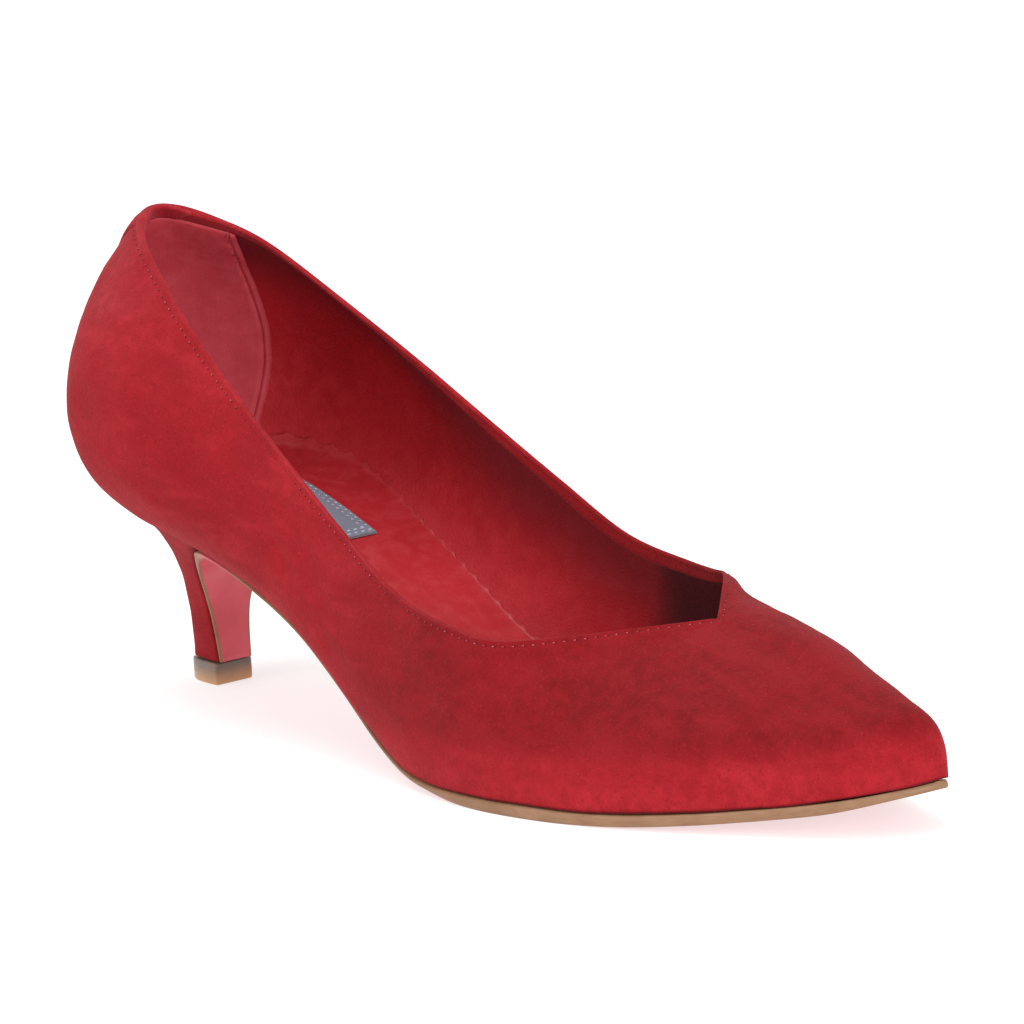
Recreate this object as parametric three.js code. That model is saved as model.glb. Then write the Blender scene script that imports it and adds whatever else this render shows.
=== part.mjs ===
// A woman's kitten-heel court shoe for the right foot, in suede, with a pointed toe and a V-shaped throat.
// Millimetres, +Z up, toe towards +X, so the inner (medial) side of this right shoe is +Y.
// The upper is a lasted shell, open at the collar and closed below by an insole, an outsole
// that runs on down the breast of the heel, and a covered heel on a small top piece.
import * as THREE from "three";

// Driving sizes of the last
const lastLength = 248;
const ballWidth = 78;
const heelHeight = 36;
const backHeight = 62.4;
const toeSpring = 8.8;
const toeSwing = 11;
const throatShare = 0.7355;

// Thicknesses and clearances
const upperWall = 1.8;
const soleThickness = 2.3;
const flapThickness = 1.5;
const soleRim = 0.7;
const soleTipInset = 1;
const soleTipThickness = 1.7;
const waistInset = 0.2;
const insoleThickness = 2;
const sockThickness = 1;
const linerThickness = 0.8;
const tabThickness = 0.7;
const labelThickness = 0.5;
const clearance = 0.3;
const tabClearance = 0.45;

// Heel, top piece and small trim
const seatLength = 34.8;
const heelTipFront = 16.8;
const heelTipDepth = 10;
const heelTipWidth = 8.8;
const breastFlare = 4;
const backFlare = 2.1;
const lateralLean = 0.2;
const topPieceHeight = 4.8;
const topPieceRim = 0.4;
const heelPad = 2.5;
const sockWrap = 5.4;
const sockLip = 0.05;
const gripReach = 12.6;
const gripTaper = 0.2;
const labelLength = 40;
const labelWidth = 24;
const labelStart = 15.2;
const tabWidth = 13;
const tabDrop = 13;
const tabTuck = 4;

const halfBall = ballWidth / 2;

// Turns rows of numbers into rows of named columns
function table(columns, rows) {
  const names = columns.split(" ");
  return rows.map((row) => Object.fromEntries(row.map((value, i) => [names[i], value])));
}

// Stations run from the toe (at 1) to the back of the heel seat (at 0) as shares of lastLength.
// lateral, medial: half widths of the feather line, where the upper meets the sole; swing: the centre line's
// shift towards the big toe; footOut, footUp: how far the wall swells out and stands up from that line;
// lift, spring: shares of heelHeight and toeSpring by which the feather line rises.
const outline = table("at lateral medial swing footOut footUp lift spring", [
  [1.0, 0.0, 0.0, 1.0, 0.0, 0.6, 0.0, 1.0],
  [0.985, 0.17, 0.17, 0.82, 0.01, 0.6, 0.0, 0.87],
  [0.94, 0.335, 0.33, 0.52, 0.02, 0.58, 0.0, 0.6],
  [0.88, 0.506, 0.5, 0.36, 0.03, 0.55, 0.0, 0.36],
  [0.82, 0.672, 0.665, 0.23, 0.04, 0.52, 0.0, 0.17],
  [0.76, 0.811, 0.805, 0.105, 0.05, 0.48, 0.0, 0.045],
  [0.7, 0.905, 0.89, 0.02, 0.06, 0.42, 0.0, 0.0],
  [0.64, 0.962, 0.915, 0.0, 0.07, 0.38, 0.0, 0.0],
  [0.58, 0.975, 0.87, 0.0, 0.08, 0.34, 0.0, 0.0],
  [0.51, 0.91, 0.76, 0.0, 0.12, 0.3, 0.015, 0.0],
  [0.44, 0.78, 0.63, 0.0, 0.19, 0.28, 0.11, 0.0],
  [0.37, 0.67, 0.54, 0.0, 0.25, 0.28, 0.33, 0.0],
  [0.3, 0.61, 0.53, 0.0, 0.29, 0.28, 0.595, 0.0],
  [0.22, 0.585, 0.56, 0.0, 0.4, 0.28, 0.815, 0.0],
  [0.14, 0.57, 0.57, 0.0, 0.53, 0.26, 0.95, 0.0],
  [0.07, 0.49, 0.49, 0.0, 0.57, 0.23, 0.99, 0.0],
  [0.025, 0.34, 0.34, 0.0, 0.5, 0.21, 1.0, 0.0],
  [0.0, 0.0, 0.0, 0.0, 0.4, 0.21, 1.0, 0.0],
]);

// The ridge of the vamp from the toe back to the throat. rise: above the feather line, as a share of
// backHeight; swing: shift towards the big toe; rimOut: how broadly the vamp rounds over, as a share of
// half the ball width; slant: how steeply it still climbs towards the big toe where it crosses the ridge.
const ridge = table("at rise swing rimOut slant", [
  [1.0, 0.0, 1.0, 0.0, 0.0],
  [0.985, 0.213, 0.86, 0.13, 0.13],
  [0.94, 0.313, 0.7, 0.23, 0.28],
  [0.88, 0.406, 0.6, 0.32, 0.37],
  [0.8, 0.508, 0.52, 0.43, 0.45],
  [throatShare, 0.555, 0.47, 0.46, 0.4],
]);

// The topline from the throat to the back seam. lateral, medial: its distance from the middle plane;
// rise: share of backHeight, above a line that climbs with the heel; medialUp: what the inner side has more;
// rimOut, rimDown: the wall's lean at the edge; lateralSlant, medialSlant: as the ridge's slant.
const topline = table("at lateral medial rise medialUp rimOut rimDown lateralSlant medialSlant", [
  [throatShare, -0.133, 0.133, 0.52, 0, 0.46, 0.0, 0.4, 0.4],
  [0.684, 0.27, 0.43, 0.48, 0.08, 0.36, 0.1, 0.38, 0.28],
  [0.648, 0.55, 0.605, 0.45, 0.085, 0.26, 0.22, 0.28, 0.2],
  [0.61, 0.76, 0.73, 0.424, 0.065, 0.16, 0.34, 0.14, 0.1],
  [0.56, 0.838, 0.8, 0.431, 0.028, 0.1, 0.4, 0, 0],
  [0.48, 0.82, 0.78, 0.46, 0.005, 0.1, 0.42, 0, 0],
  [0.4, 0.76, 0.728, 0.561, 0, 0.13, 0.42, 0, 0],
  [0.32, 0.695, 0.659, 0.667, 0, 0.2, 0.42, 0, 0],
  [0.24, 0.625, 0.585, 0.769, 0, 0.34, 0.42, 0, 0],
  [0.16, 0.54, 0.475, 0.872, 0, 0.555, 0.38, 0, 0],
  [0.08, 0.405, 0.34, 0.97, 0, 0.63, 0.34, 0, 0],
  [0.02, 0.21, 0.165, 0.995, 0, 0.515, 0.33, 0, 0],
  [0.0, 0.0, 0.0, 1.0, 0, 0.45, 0.33, 0, 0],
]);

// Turn of a station: 0 at the toe and PI at the heel, so that equal turns crowd at both round ends.
const turnOf = (at) => Math.acos(2 * at - 1);
const atOf = (turn) => (1 + Math.cos(turn)) / 2;

// A smooth curve through one column of a table. Past each end the column goes on as a mirror image,
// turned over in sign (-1) where it runs through zero, or dropped (0) where the table meets another one.
function column(rows, key, toeSign, heelSign) {
  const knots = rows.map((row) => ({ t: turnOf(row.at), v: row[key] }));
  const [first, second] = knots;
  const [nextToLast, last] = knots.slice(-2);
  if (toeSign) knots.unshift({ t: 2 * first.t - second.t, v: toeSign * second.v });
  if (heelSign) knots.push({ t: 2 * last.t - nextToLast.t, v: heelSign * nextToLast.v });
  const secant = (i) => (knots[i + 1].v - knots[i].v) / (knots[i + 1].t - knots[i].t);
  const slope = (i) => {
    if (i === 0) return secant(0);
    if (i === knots.length - 1) return secant(i - 1);
    const before = knots[i].t - knots[i - 1].t;
    const after = knots[i + 1].t - knots[i].t;
    return (secant(i - 1) * after + secant(i) * before) / (before + after);
  };
  return (turn) => {
    let i = 0;
    while (i < knots.length - 2 && turn > knots[i + 1].t) i += 1;
    const span = knots[i + 1].t - knots[i].t;
    const u = THREE.MathUtils.clamp((turn - knots[i].t) / span, 0, 1);
    const rest = 1 - u;
    return (
      knots[i].v * (1 + 2 * u) * rest * rest +
      slope(i) * span * u * rest * rest +
      knots[i + 1].v * (3 - 2 * u) * u * u -
      slope(i + 1) * span * rest * u * u
    );
  };
}

const foot = {
  lateral: column(outline, "lateral", -1, -1),
  medial: column(outline, "medial", -1, -1),
  swing: column(outline, "swing", 1, 1),
  footOut: column(outline, "footOut", -1, 1),
  footUp: column(outline, "footUp", 1, 1),
  lift: column(outline, "lift", 1, 1),
  spring: column(outline, "spring", 1, 1),
};
const vamp = {
  rise: column(ridge, "rise", -1, 0),
  swing: column(ridge, "swing", 1, 0),
  rimOut: column(ridge, "rimOut", -1, 0),
  slant: column(ridge, "slant", 1, 0),
};
const collar = {
  lateral: column(topline, "lateral", 0, -1),
  medial: column(topline, "medial", 0, -1),
  rise: column(topline, "rise", 0, 1),
  medialUp: column(topline, "medialUp", 0, 1),
  rimOut: column(topline, "rimOut", 0, 1),
  rimDown: column(topline, "rimDown", 0, 1),
  lateralSlant: column(topline, "lateralSlant", 0, 1),
  medialSlant: column(topline, "medialSlant", 0, 1),
};
const throatTurn = turnOf(throatShare);

// Height of the last's bottom and shift of its centre line at a length from the back of the seat
const turnAtX = (x) => turnOf(THREE.MathUtils.clamp(x / lastLength, 0, 1));
const bottomZ = (x) => {
  const turn = turnAtX(x);
  const arch = heelHeight * Math.max(0, foot.lift(turn));
  const tipUp = toeSpring * Math.max(0, foot.spring(turn));
  return soleThickness + clearance + arch + tipUp;
};
const centreY = (turn) => toeSwing * foot.swing(turn);

// Takes an inset off a width that may run out to nothing at the ends
function shrink(width, inset) {
  const reach = 3 * Math.abs(inset);
  return reach === 0 ? width : width - inset * Math.min(1, width / reach);
}

// Outward direction of the feather line in plan, square to its run
function outward(turn, side) {
  const key = side < 0 ? "lateral" : "medial";
  const step = 0.01;
  const half = (t) => {
    if (t > Math.PI) return -halfBall * foot[key](2 * Math.PI - t);
    return halfBall * Math.sign(t) * foot[key](Math.abs(t));
  };
  const dx = lastLength * (atOf(turn + step) - atOf(turn - step));
  const dw = half(turn + step) - half(turn - step);
  return new THREE.Vector3(dw, -side * dx, 0).normalize();
}

// A point of the feather line, moved in by an inset
function featherPoint(turn, side, inset) {
  const key = side < 0 ? "lateral" : "medial";
  const half = shrink(halfBall * foot[key](turn), inset);
  const x = lastLength * atOf(turn) - inset * Math.cos(turn);
  return new THREE.Vector3(x, centreY(turn) + side * half, bottomZ(x));
}

// A point of the vamp's ridge, moved down into the wall by an inset
function ridgePoint(turn, inset) {
  const x = lastLength * atOf(turn);
  const tip = 1 - Math.min(1, vamp.rise(turn) / 0.3);
  const z = bottomZ(x) + shrink(backHeight * vamp.rise(turn), inset);
  return new THREE.Vector3(x - inset * tip, toeSwing * vamp.swing(turn), z);
}

// A point of the topline, moved into the wall by an inset
function toplinePoint(turn, side, inset) {
  const key = side < 0 ? "lateral" : "medial";
  const at = atOf(turn);
  const upright = Math.min(1, collar.rimDown(turn) / 0.34);
  const climb = heelHeight * (1 - at) ** 2;
  const rise = collar.rise(turn) + (side > 0 ? collar.medialUp(turn) : 0);
  const x = lastLength * at - inset * Math.cos(turn) * upright;
  const z = soleThickness + clearance + climb + backHeight * rise - inset * (1 - upright);
  const half = halfBall * collar[key](turn);
  return new THREE.Vector3(x, side * (half > 0 ? shrink(half, inset * upright) : half), z);
}

// A point of the upper's wall: v runs from the feather line (0) to the ridge or topline (1).
// Each rib is a cubic curve that leaves the sole upright and comes to the rim with the wall's lean.
function upperPoint(turn, side, v, inset = 0) {
  const onVamp = turn <= throatTurn;
  const start = featherPoint(turn, side, inset);
  const end = onVamp ? ridgePoint(turn, inset) : toplinePoint(turn, side, inset);
  const rise = end.z - start.z;
  const out = outward(turn, side);
  const heelness = THREE.MathUtils.smoothstep(turn, 0.62 * Math.PI, 0.85 * Math.PI);
  const rimOutward = new THREE.Vector3(0, side, 0).lerp(out, heelness).normalize();
  const shape = onVamp ? vamp : collar;
  const rimOut = halfBall * shape.rimOut(turn);
  const rimDown = onVamp ? 0 : collar.rimDown(turn);
  const collarSlant = side < 0 ? collar.lateralSlant : collar.medialSlant;
  const slant = (onVamp ? vamp.slant : collarSlant)(turn);
  const handleA = start.clone().addScaledVector(out, halfBall * foot.footOut(turn));
  handleA.z += foot.footUp(turn) * rise;
  const handleB = end.clone().addScaledVector(rimOutward, rimOut);
  handleB.z += side * slant * rimOut - rimDown * rise;
  return new THREE.CubicBezierCurve3(start, handleA, handleB, end).getPoint(v);
}

// Closed meshes are gathered face by face; corners that coincide are shared and empty faces dropped.
class Skin {
  constructor() {
    this.corners = [];
    this.faces = [];
    this.known = new Map();
  }
  corner(p) {
    const key = [p.x, p.y, p.z].map((n) => Math.round(n * 2000)).join();
    if (!this.known.has(key)) {
      this.known.set(key, this.corners.length);
      this.corners.push(p);
    }
    return this.known.get(key);
  }
  face(a, b, c) {
    const [i, j, k] = [this.corner(a), this.corner(b), this.corner(c)];
    if (i !== j && j !== k && k !== i) this.faces.push([i, j, k]);
  }
  quad(a, b, c, d) {
    this.face(a, b, c);
    this.face(a, c, d);
  }
  geometry() {
    const made = new THREE.BufferGeometry();
    const numbers = this.corners.flatMap((p) => [p.x, p.y, p.z]);
    made.setAttribute("position", new THREE.Float32BufferAttribute(numbers, 3));
    made.setIndex(this.faces.flat());
    const volume = this.faces.reduce((sum, [i, j, k]) => {
      const [a, b, c] = [this.corners[i], this.corners[j], this.corners[k]];
      return sum + a.dot(b.clone().cross(c));
    }, 0);
    if (volume < 0) made.setIndex(this.faces.map(([i, j, k]) => [i, k, j]).flat());
    made.computeVertexNormals();
    return made;
  }
}

const range = (count) => Array.from({ length: count + 1 }, (_, i) => i / count);

// Corners nearer than this are one corner
const sameSpot = 0.01;
const wallLevels = 10;

// Turns around the shoe from the toe to the heel, with the throat's corner among them
const toeSteps = 15;
const heelSteps = 27;
const turns = [
  ...range(toeSteps).map((u) => u * throatTurn),
  ...range(heelSteps).slice(1).map((u) => throatTurn + u * (Math.PI - throatTurn)),
];
// One trip round the shoe: down the lateral side to the heel and back up the medial side
const loop = [
  ...turns.map((turn) => ({ turn, side: -1 })),
  ...turns.slice(1, -1).reverse().map((turn) => ({ turn, side: 1 })),
];
const nextOf = (i) => loop[(i + 1) % loop.length];

// The upper: an outer and an inner skin joined along the topline and the feather edge
function upperShell() {
  const skin = new Skin();
  const levels = range(wallLevels);
  loop.forEach((a, i) => {
    const b = nextOf(i);
    for (const inset of [0, upperWall]) {
      levels.slice(1).forEach((v, j) => {
        const low = levels[j];
        const ring = [
          upperPoint(a.turn, a.side, low, inset),
          upperPoint(b.turn, b.side, low, inset),
          upperPoint(b.turn, b.side, v, inset),
          upperPoint(a.turn, a.side, v, inset),
        ];
        if (inset > 0) ring.reverse();
        skin.quad(...ring);
      });
    }
    const edge = (v) => [
      upperPoint(a.turn, a.side, v, 0),
      upperPoint(b.turn, b.side, v, 0),
      upperPoint(b.turn, b.side, v, upperWall),
      upperPoint(a.turn, a.side, v, upperWall),
    ];
    skin.quad(...edge(0).reverse());
    if (Math.min(a.turn, b.turn) >= throatTurn) skin.quad(...edge(1));
  });
  return skin.geometry();
}

// A layer of leather or rubber, laid up from rungs across the shoe. A rung holds the points of its
// lower face from the lateral to the medial side as low, and those of its upper face as high.
function ladder(rungs) {
  const skin = new Skin();
  const last = rungs[0].low.length - 1;
  rungs.slice(1).forEach((b, i) => {
    const a = rungs[i];
    for (let k = 0; k < last; k += 1) {
      skin.quad(a.low[k], b.low[k], b.low[k + 1], a.low[k + 1]);
      skin.quad(a.high[k], a.high[k + 1], b.high[k + 1], b.high[k]);
    }
    skin.quad(a.low[0], a.high[0], b.high[0], b.low[0]);
    skin.quad(a.low[last], b.low[last], b.high[last], a.high[last]);
  });
  const cap = (rung, atStart) => {
    if (rung.low[0].distanceTo(rung.low[last]) < sameSpot) return;
    for (let k = 0; k < last; k += 1) {
      const ring = [rung.low[k], rung.low[k + 1], rung.high[k + 1], rung.high[k]];
      skin.quad(...(atStart ? ring : ring.reverse()));
    }
  };
  cap(rungs[0], true);
  cap(rungs[rungs.length - 1], false);
  return skin.geometry();
}

const lifted = (p, by) => p.clone().setZ(p.z + by);

function insoleLayer() {
  const inset = upperWall + clearance;
  const rungs = turns.map((turn) => {
    const low = [-1, 1].map((side) => featherPoint(turn, side, inset));
    return { low, high: low.map((p) => lifted(p, insoleThickness)) };
  });
  return ladder(rungs);
}

// A point of the upper's wall at a height above the feather line
function wallAtRise(turn, side, rise, inset) {
  const goal = featherPoint(turn, side, inset).z + rise;
  let [low, high] = [0, 1];
  for (let i = 0; i < 14; i += 1) {
    const middle = (low + high) / 2;
    if (upperPoint(turn, side, middle, inset).z < goal) low = middle;
    else high = middle;
  }
  return upperPoint(turn, side, low, inset);
}

// The sock is padded under the heel, where its edge also climbs the wall; padShare falls to 0 at the waist.
const padShare = (x) => 1 - THREE.MathUtils.smoothstep(x, seatLength * 0.4, seatLength * 1.6);
const sockFront = turnOf(0.99);
const sockBottom = insoleThickness + clearance;
const sockTop = (x) => sockBottom + sockThickness + heelPad * padShare(x);

function sockLayer() {
  const near = upperWall + clearance;
  const far = near + sockThickness;
  const rungs = turns.filter((turn) => turn > sockFront).map((turn) => {
    const x = lastLength * atOf(turn);
    const edge = sockTop(x) + sockLip + (sockWrap - heelPad) * padShare(x);
    const corner = (side, inset, lift) => lifted(featherPoint(turn, side, inset), lift);
    const across = (inset, lift) => [
      wallAtRise(turn, -1, edge, inset),
      corner(-1, inset, lift),
      corner(1, inset, lift),
      wallAtRise(turn, 1, edge, inset),
    ];
    return { low: across(near, sockBottom), high: across(far, sockTop(x)) };
  });
  return ladder(rungs);
}

function labelLayer() {
  const rungs = range(10).map((u) => {
    const x = labelStart + u * labelLength;
    const z = bottomZ(x) + sockTop(x) + 2 * clearance;
    const low = [-1, 1].map((side) => new THREE.Vector3(x, (side * labelWidth) / 2, z));
    return { low, high: low.map((p) => lifted(p, labelThickness)) };
  });
  return ladder(rungs.reverse());
}

// The heel: level 0 is the foot of the block, level 1 the seat under the upper. It flares between the two,
// late and sharply at the breast, sooner at the back, and it leans out over the lateral side.
const heelFoot = topPieceHeight + clearance;
const seatTurn = turnAtX(seatLength);
const seatSteps = 11;
const blockSteps = 12;
const tipCorner = 0.45;
const tipRound = 0.8;

// Outline of the heel's foot: a straight breast, straight flanks and a round back
function tipOutline(u, side, rim) {
  const bow = (u * Math.PI) / 2;
  const half = (heelTipWidth / 2 + rim) * Math.cos(bow) ** tipCorner;
  const reach = (heelTipDepth + 2 * rim) * Math.sin(bow) ** tipRound;
  return new THREE.Vector3(heelTipFront + rim - reach, side * half, 0);
}

function heelPoint(u, side, level) {
  const turn = seatTurn + u * (Math.PI - seatTurn);
  const seat = featherPoint(turn, side, clearance);
  const tip = tipOutline(u, side, 0);
  const along = level ** THREE.MathUtils.lerp(breastFlare, backFlare, u);
  const lean = side < 0 ? lateralLean * (1 - u) : 0;
  const across = lean * level + (1 - lean) * level ** (side < 0 ? 3 : breastFlare);
  const seatZ = seat.z - clearance;
  const z = heelFoot + (seatZ - heelFoot) * level;
  return new THREE.Vector3(tip.x + (seat.x - tip.x) * along, tip.y + (seat.y - tip.y) * across, z);
}

function heelBlock() {
  const skin = new Skin();
  const levels = range(blockSteps);
  const stations = range(seatSteps);
  levels.slice(1).forEach((high, i) => {
    const low = levels[i];
    stations.slice(1).forEach((after, j) => {
      const before = stations[j];
      for (const side of [-1, 1]) {
        const ring = [
          heelPoint(before, side, low),
          heelPoint(after, side, low),
          heelPoint(after, side, high),
          heelPoint(before, side, high),
        ];
        skin.quad(...(side > 0 ? ring.reverse() : ring));
      }
    });
    skin.quad(heelPoint(0, -1, low), heelPoint(0, -1, high), heelPoint(0, 1, high), heelPoint(0, 1, low));
  });
  for (const level of [0, 1]) {
    stations.slice(1).forEach((after, j) => {
      const before = stations[j];
      const ring = [
        heelPoint(before, -1, level),
        heelPoint(before, 1, level),
        heelPoint(after, 1, level),
        heelPoint(after, -1, level),
      ];
      skin.quad(...(level > 0 ? ring.reverse() : ring));
    });
  }
  return skin.geometry();
}

// The top piece under the heel, a little proud of it all round
function topPiece() {
  const rungs = range(10).map((u) => {
    const low = [-1, 1].map((side) => tipOutline(u, side, topPieceRim));
    return { low, high: low.map((p) => lifted(p, topPieceHeight)) };
  });
  return ladder(rungs);
}

// The outsole stands proud of the upper from the ball forwards and draws in under it at the waist.
const waistShare = 0.42;
const ballShare = 0.6;
const flapTop = 0.97;
const flapInset = 0.4;
const flapSteps = 14;

// The outsole's side profile: along the bottom of the last to the heel, then down its breast
function outsoleLine() {
  const stations = [];
  const forward = turns.filter((turn) => lastLength * atOf(turn) > seatLength + 2 * soleThickness);
  const flatShare = (x) => THREE.MathUtils.smoothstep(x, waistShare * lastLength, ballShare * lastLength);
  const tipShare = (x) => THREE.MathUtils.smoothstep(x, 0.93 * lastLength, lastLength);
  for (const turn of forward) {
    const x = lastLength * atOf(turn);
    const inset = THREE.MathUtils.lerp(waistInset, -soleRim, flatShare(x)) + soleTipInset * tipShare(x);
    const left = featherPoint(turn, -1, inset);
    const right = featherPoint(turn, 1, inset);
    left.z -= clearance;
    right.z -= clearance;
    const thick = THREE.MathUtils.lerp(soleThickness, soleTipThickness, tipShare(x));
    stations.push({ left, right, thick });
  }
  for (const u of range(flapSteps)) {
    const level = flapTop * (1 - u);
    const left = heelPoint(0, -1, level);
    const right = heelPoint(0, 1, level);
    const trim = new THREE.Vector3(clearance, 0, 0);
    left.add(trim).setY(left.y + flapInset);
    right.add(trim).setY(right.y - flapInset);
    const thick = THREE.MathUtils.lerp(soleThickness, flapThickness, Math.min(1, 3 * u));
    stations.push({ left, right, thick });
  }
  return stations;
}

function outsole() {
  const line = outsoleLine();
  const middle = line.map((s) => s.left.clone().lerp(s.right, 0.5));
  const rungs = line.map((s, i) => {
    const before = middle[Math.max(0, i - 1)];
    const after = middle[Math.min(line.length - 1, i + 1)];
    const run = after.clone().sub(before);
    const down = new THREE.Vector3(-run.z, 0, run.x).normalize().multiplyScalar(s.thick);
    const high = [s.left, s.right];
    return { low: high.map((p) => p.clone().add(down)), high };
  });
  return ladder(rungs);
}

// The heel grip lines the back of the upper, between two levels of its wall
function heelGrip() {
  const skin = new Skin();
  const near = upperWall + clearance;
  const far = near + linerThickness;
  const frontTurn = turnAtX(gripReach);
  const places = loop.filter((place) => place.turn > frontTurn);
  const rows = range(wallLevels).filter((v) => v > 0.15 && v < 0.95);
  const at = (place, v, inset) => {
    const turn = Math.PI - (Math.PI - place.turn) * (1 - gripTaper * (1 - v));
    return upperPoint(turn, place.side, v, inset);
  };
  const bottom = rows[0];
  const top = rows[rows.length - 1];
  places.slice(1).forEach((b, i) => {
    const a = places[i];
    rows.slice(1).forEach((high, j) => {
      const low = rows[j];
      skin.quad(at(a, low, near), at(b, low, near), at(b, high, near), at(a, high, near));
      skin.quad(at(a, low, far), at(a, high, far), at(b, high, far), at(b, low, far));
    });
    skin.quad(at(a, bottom, near), at(a, bottom, far), at(b, bottom, far), at(b, bottom, near));
    skin.quad(at(a, top, near), at(b, top, near), at(b, top, far), at(a, top, far));
  });
  const first = places[0];
  const last = places[places.length - 1];
  rows.slice(1).forEach((high, j) => {
    const low = rows[j];
    skin.quad(at(first, low, near), at(first, high, near), at(first, high, far), at(first, low, far));
    skin.quad(at(last, low, near), at(last, low, far), at(last, high, far), at(last, high, near));
  });
  return skin.geometry();
}

// The tab over the back seam: up the outside, across the topline and a little way down the inside.
// At each level it spans as much of a turn as its width needs there.
function backTab() {
  const skin = new Skin();
  const step = 0.1;
  const halfTurn = (v) => (step * tabWidth) / (2 * upperPoint(Math.PI - step, 1, v).y);
  const shares = range(6).map((u) => 2 * u - 1);
  const far = tabClearance + tabThickness;
  const outside = tabDrop / backHeight;
  const inside = tabTuck / backHeight;
  const path = (off) => [
    ...range(4).map((u) => ({ v: 1 - outside * (1 - u), inset: -off, up: 0 })),
    { v: 1, inset: -off, up: off },
    { v: 1, inset: upperWall + off, up: off },
    ...range(2).map((u) => ({ v: 1 - inside * u, inset: upperWall + off, up: 0 })),
  ];
  const at = (share, stop) => {
    const turn = Math.PI - Math.abs(share) * halfTurn(stop.v);
    const p = upperPoint(turn, share < 0 ? -1 : 1, stop.v, stop.inset);
    return p.setZ(p.z + stop.up);
  };
  const nearPath = path(tabClearance);
  const farPath = path(far);
  const last = nearPath.length - 1;
  shares.slice(1).forEach((b, i) => {
    const a = shares[i];
    for (let j = 0; j < last; j += 1) {
      skin.quad(at(a, farPath[j]), at(b, farPath[j]), at(b, farPath[j + 1]), at(a, farPath[j + 1]));
      skin.quad(at(a, nearPath[j]), at(a, nearPath[j + 1]), at(b, nearPath[j + 1]), at(b, nearPath[j]));
    }
    skin.quad(at(a, nearPath[0]), at(b, nearPath[0]), at(b, farPath[0]), at(a, farPath[0]));
    skin.quad(at(a, nearPath[last]), at(a, farPath[last]), at(b, farPath[last]), at(b, nearPath[last]));
  });
  for (const end of [-1, 1]) {
    for (let j = 0; j < last; j += 1) {
      const stops = [nearPath[j], farPath[j], farPath[j + 1], nearPath[j + 1]];
      const ring = stops.map((stop) => at(end, stop));
      skin.quad(...(end > 0 ? ring.reverse() : ring));
    }
  }
  return skin.geometry();
}

const suede = new THREE.MeshStandardMaterial({ color: 0xa0222b, roughness: 0.95, metalness: 0 });
const lining = new THREE.MeshStandardMaterial({ color: 0x9e1f24, roughness: 0.6, metalness: 0 });
const sockLeather = new THREE.MeshStandardMaterial({ color: 0xa8262c, roughness: 0.55, metalness: 0 });
const soleEdge = new THREE.MeshStandardMaterial({ color: 0xb98f6c, roughness: 0.6, metalness: 0 });
const rubber = new THREE.MeshStandardMaterial({ color: 0xb39a80, roughness: 0.5, metalness: 0 });
const woven = new THREE.MeshStandardMaterial({ color: 0x6f7383, roughness: 0.9, metalness: 0 });

const shoe = new THREE.Group();
function add(name, geometry, material) {
  const mesh = new THREE.Mesh(geometry, material);
  mesh.name = name;
  shoe.add(mesh);
}

add("upper", upperShell(), suede);
add("outsole", outsole(), soleEdge);
add("heel", heelBlock(), suede);
add("top_piece", topPiece(), rubber);
add("insole", insoleLayer(), lining);
add("sock", sockLayer(), sockLeather);
add("sock_label", labelLayer(), woven);
add("heel_grip", heelGrip(), lining);
add("back_tab", backTab(), suede);

// The origin is on the floor under the middle of the shoe's bounding box
const box = new THREE.Box3().setFromObject(shoe);
const centre = box.getCenter(new THREE.Vector3());
shoe.position.set(-centre.x, -centre.y, -box.min.z);

export default shoe;
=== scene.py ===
import math

import bpy
import numpy as np
from mathutils import Matrix, Vector, kdtree


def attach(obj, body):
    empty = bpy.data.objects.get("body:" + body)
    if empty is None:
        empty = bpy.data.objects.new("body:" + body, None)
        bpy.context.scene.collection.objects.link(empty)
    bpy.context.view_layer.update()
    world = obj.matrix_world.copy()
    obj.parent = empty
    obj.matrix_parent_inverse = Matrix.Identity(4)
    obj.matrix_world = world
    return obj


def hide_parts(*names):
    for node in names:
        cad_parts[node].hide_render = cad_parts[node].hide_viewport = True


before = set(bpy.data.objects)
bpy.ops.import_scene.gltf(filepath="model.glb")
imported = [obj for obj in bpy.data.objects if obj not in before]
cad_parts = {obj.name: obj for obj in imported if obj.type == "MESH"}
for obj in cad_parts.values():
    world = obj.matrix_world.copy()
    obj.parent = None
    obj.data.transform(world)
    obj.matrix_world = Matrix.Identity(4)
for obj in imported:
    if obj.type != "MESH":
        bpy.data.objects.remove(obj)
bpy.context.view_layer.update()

# The last, in millimetres: x runs from the back of the heel seat to the toe, +y is the inner side, z is up.
last = {
    "length": 248, "ballWidth": 78, "heelHeight": 36, "backHeight": 62.4,
    "toeSpring": 8.8, "toeSwing": 11, "throatShare": 0.7355,
    "soleThickness": 2.3, "clearance": 0.3, "wall": 1.8, "origin": (-117.93, 1.32),
}
halfBall = last["ballWidth"] / 2

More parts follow.
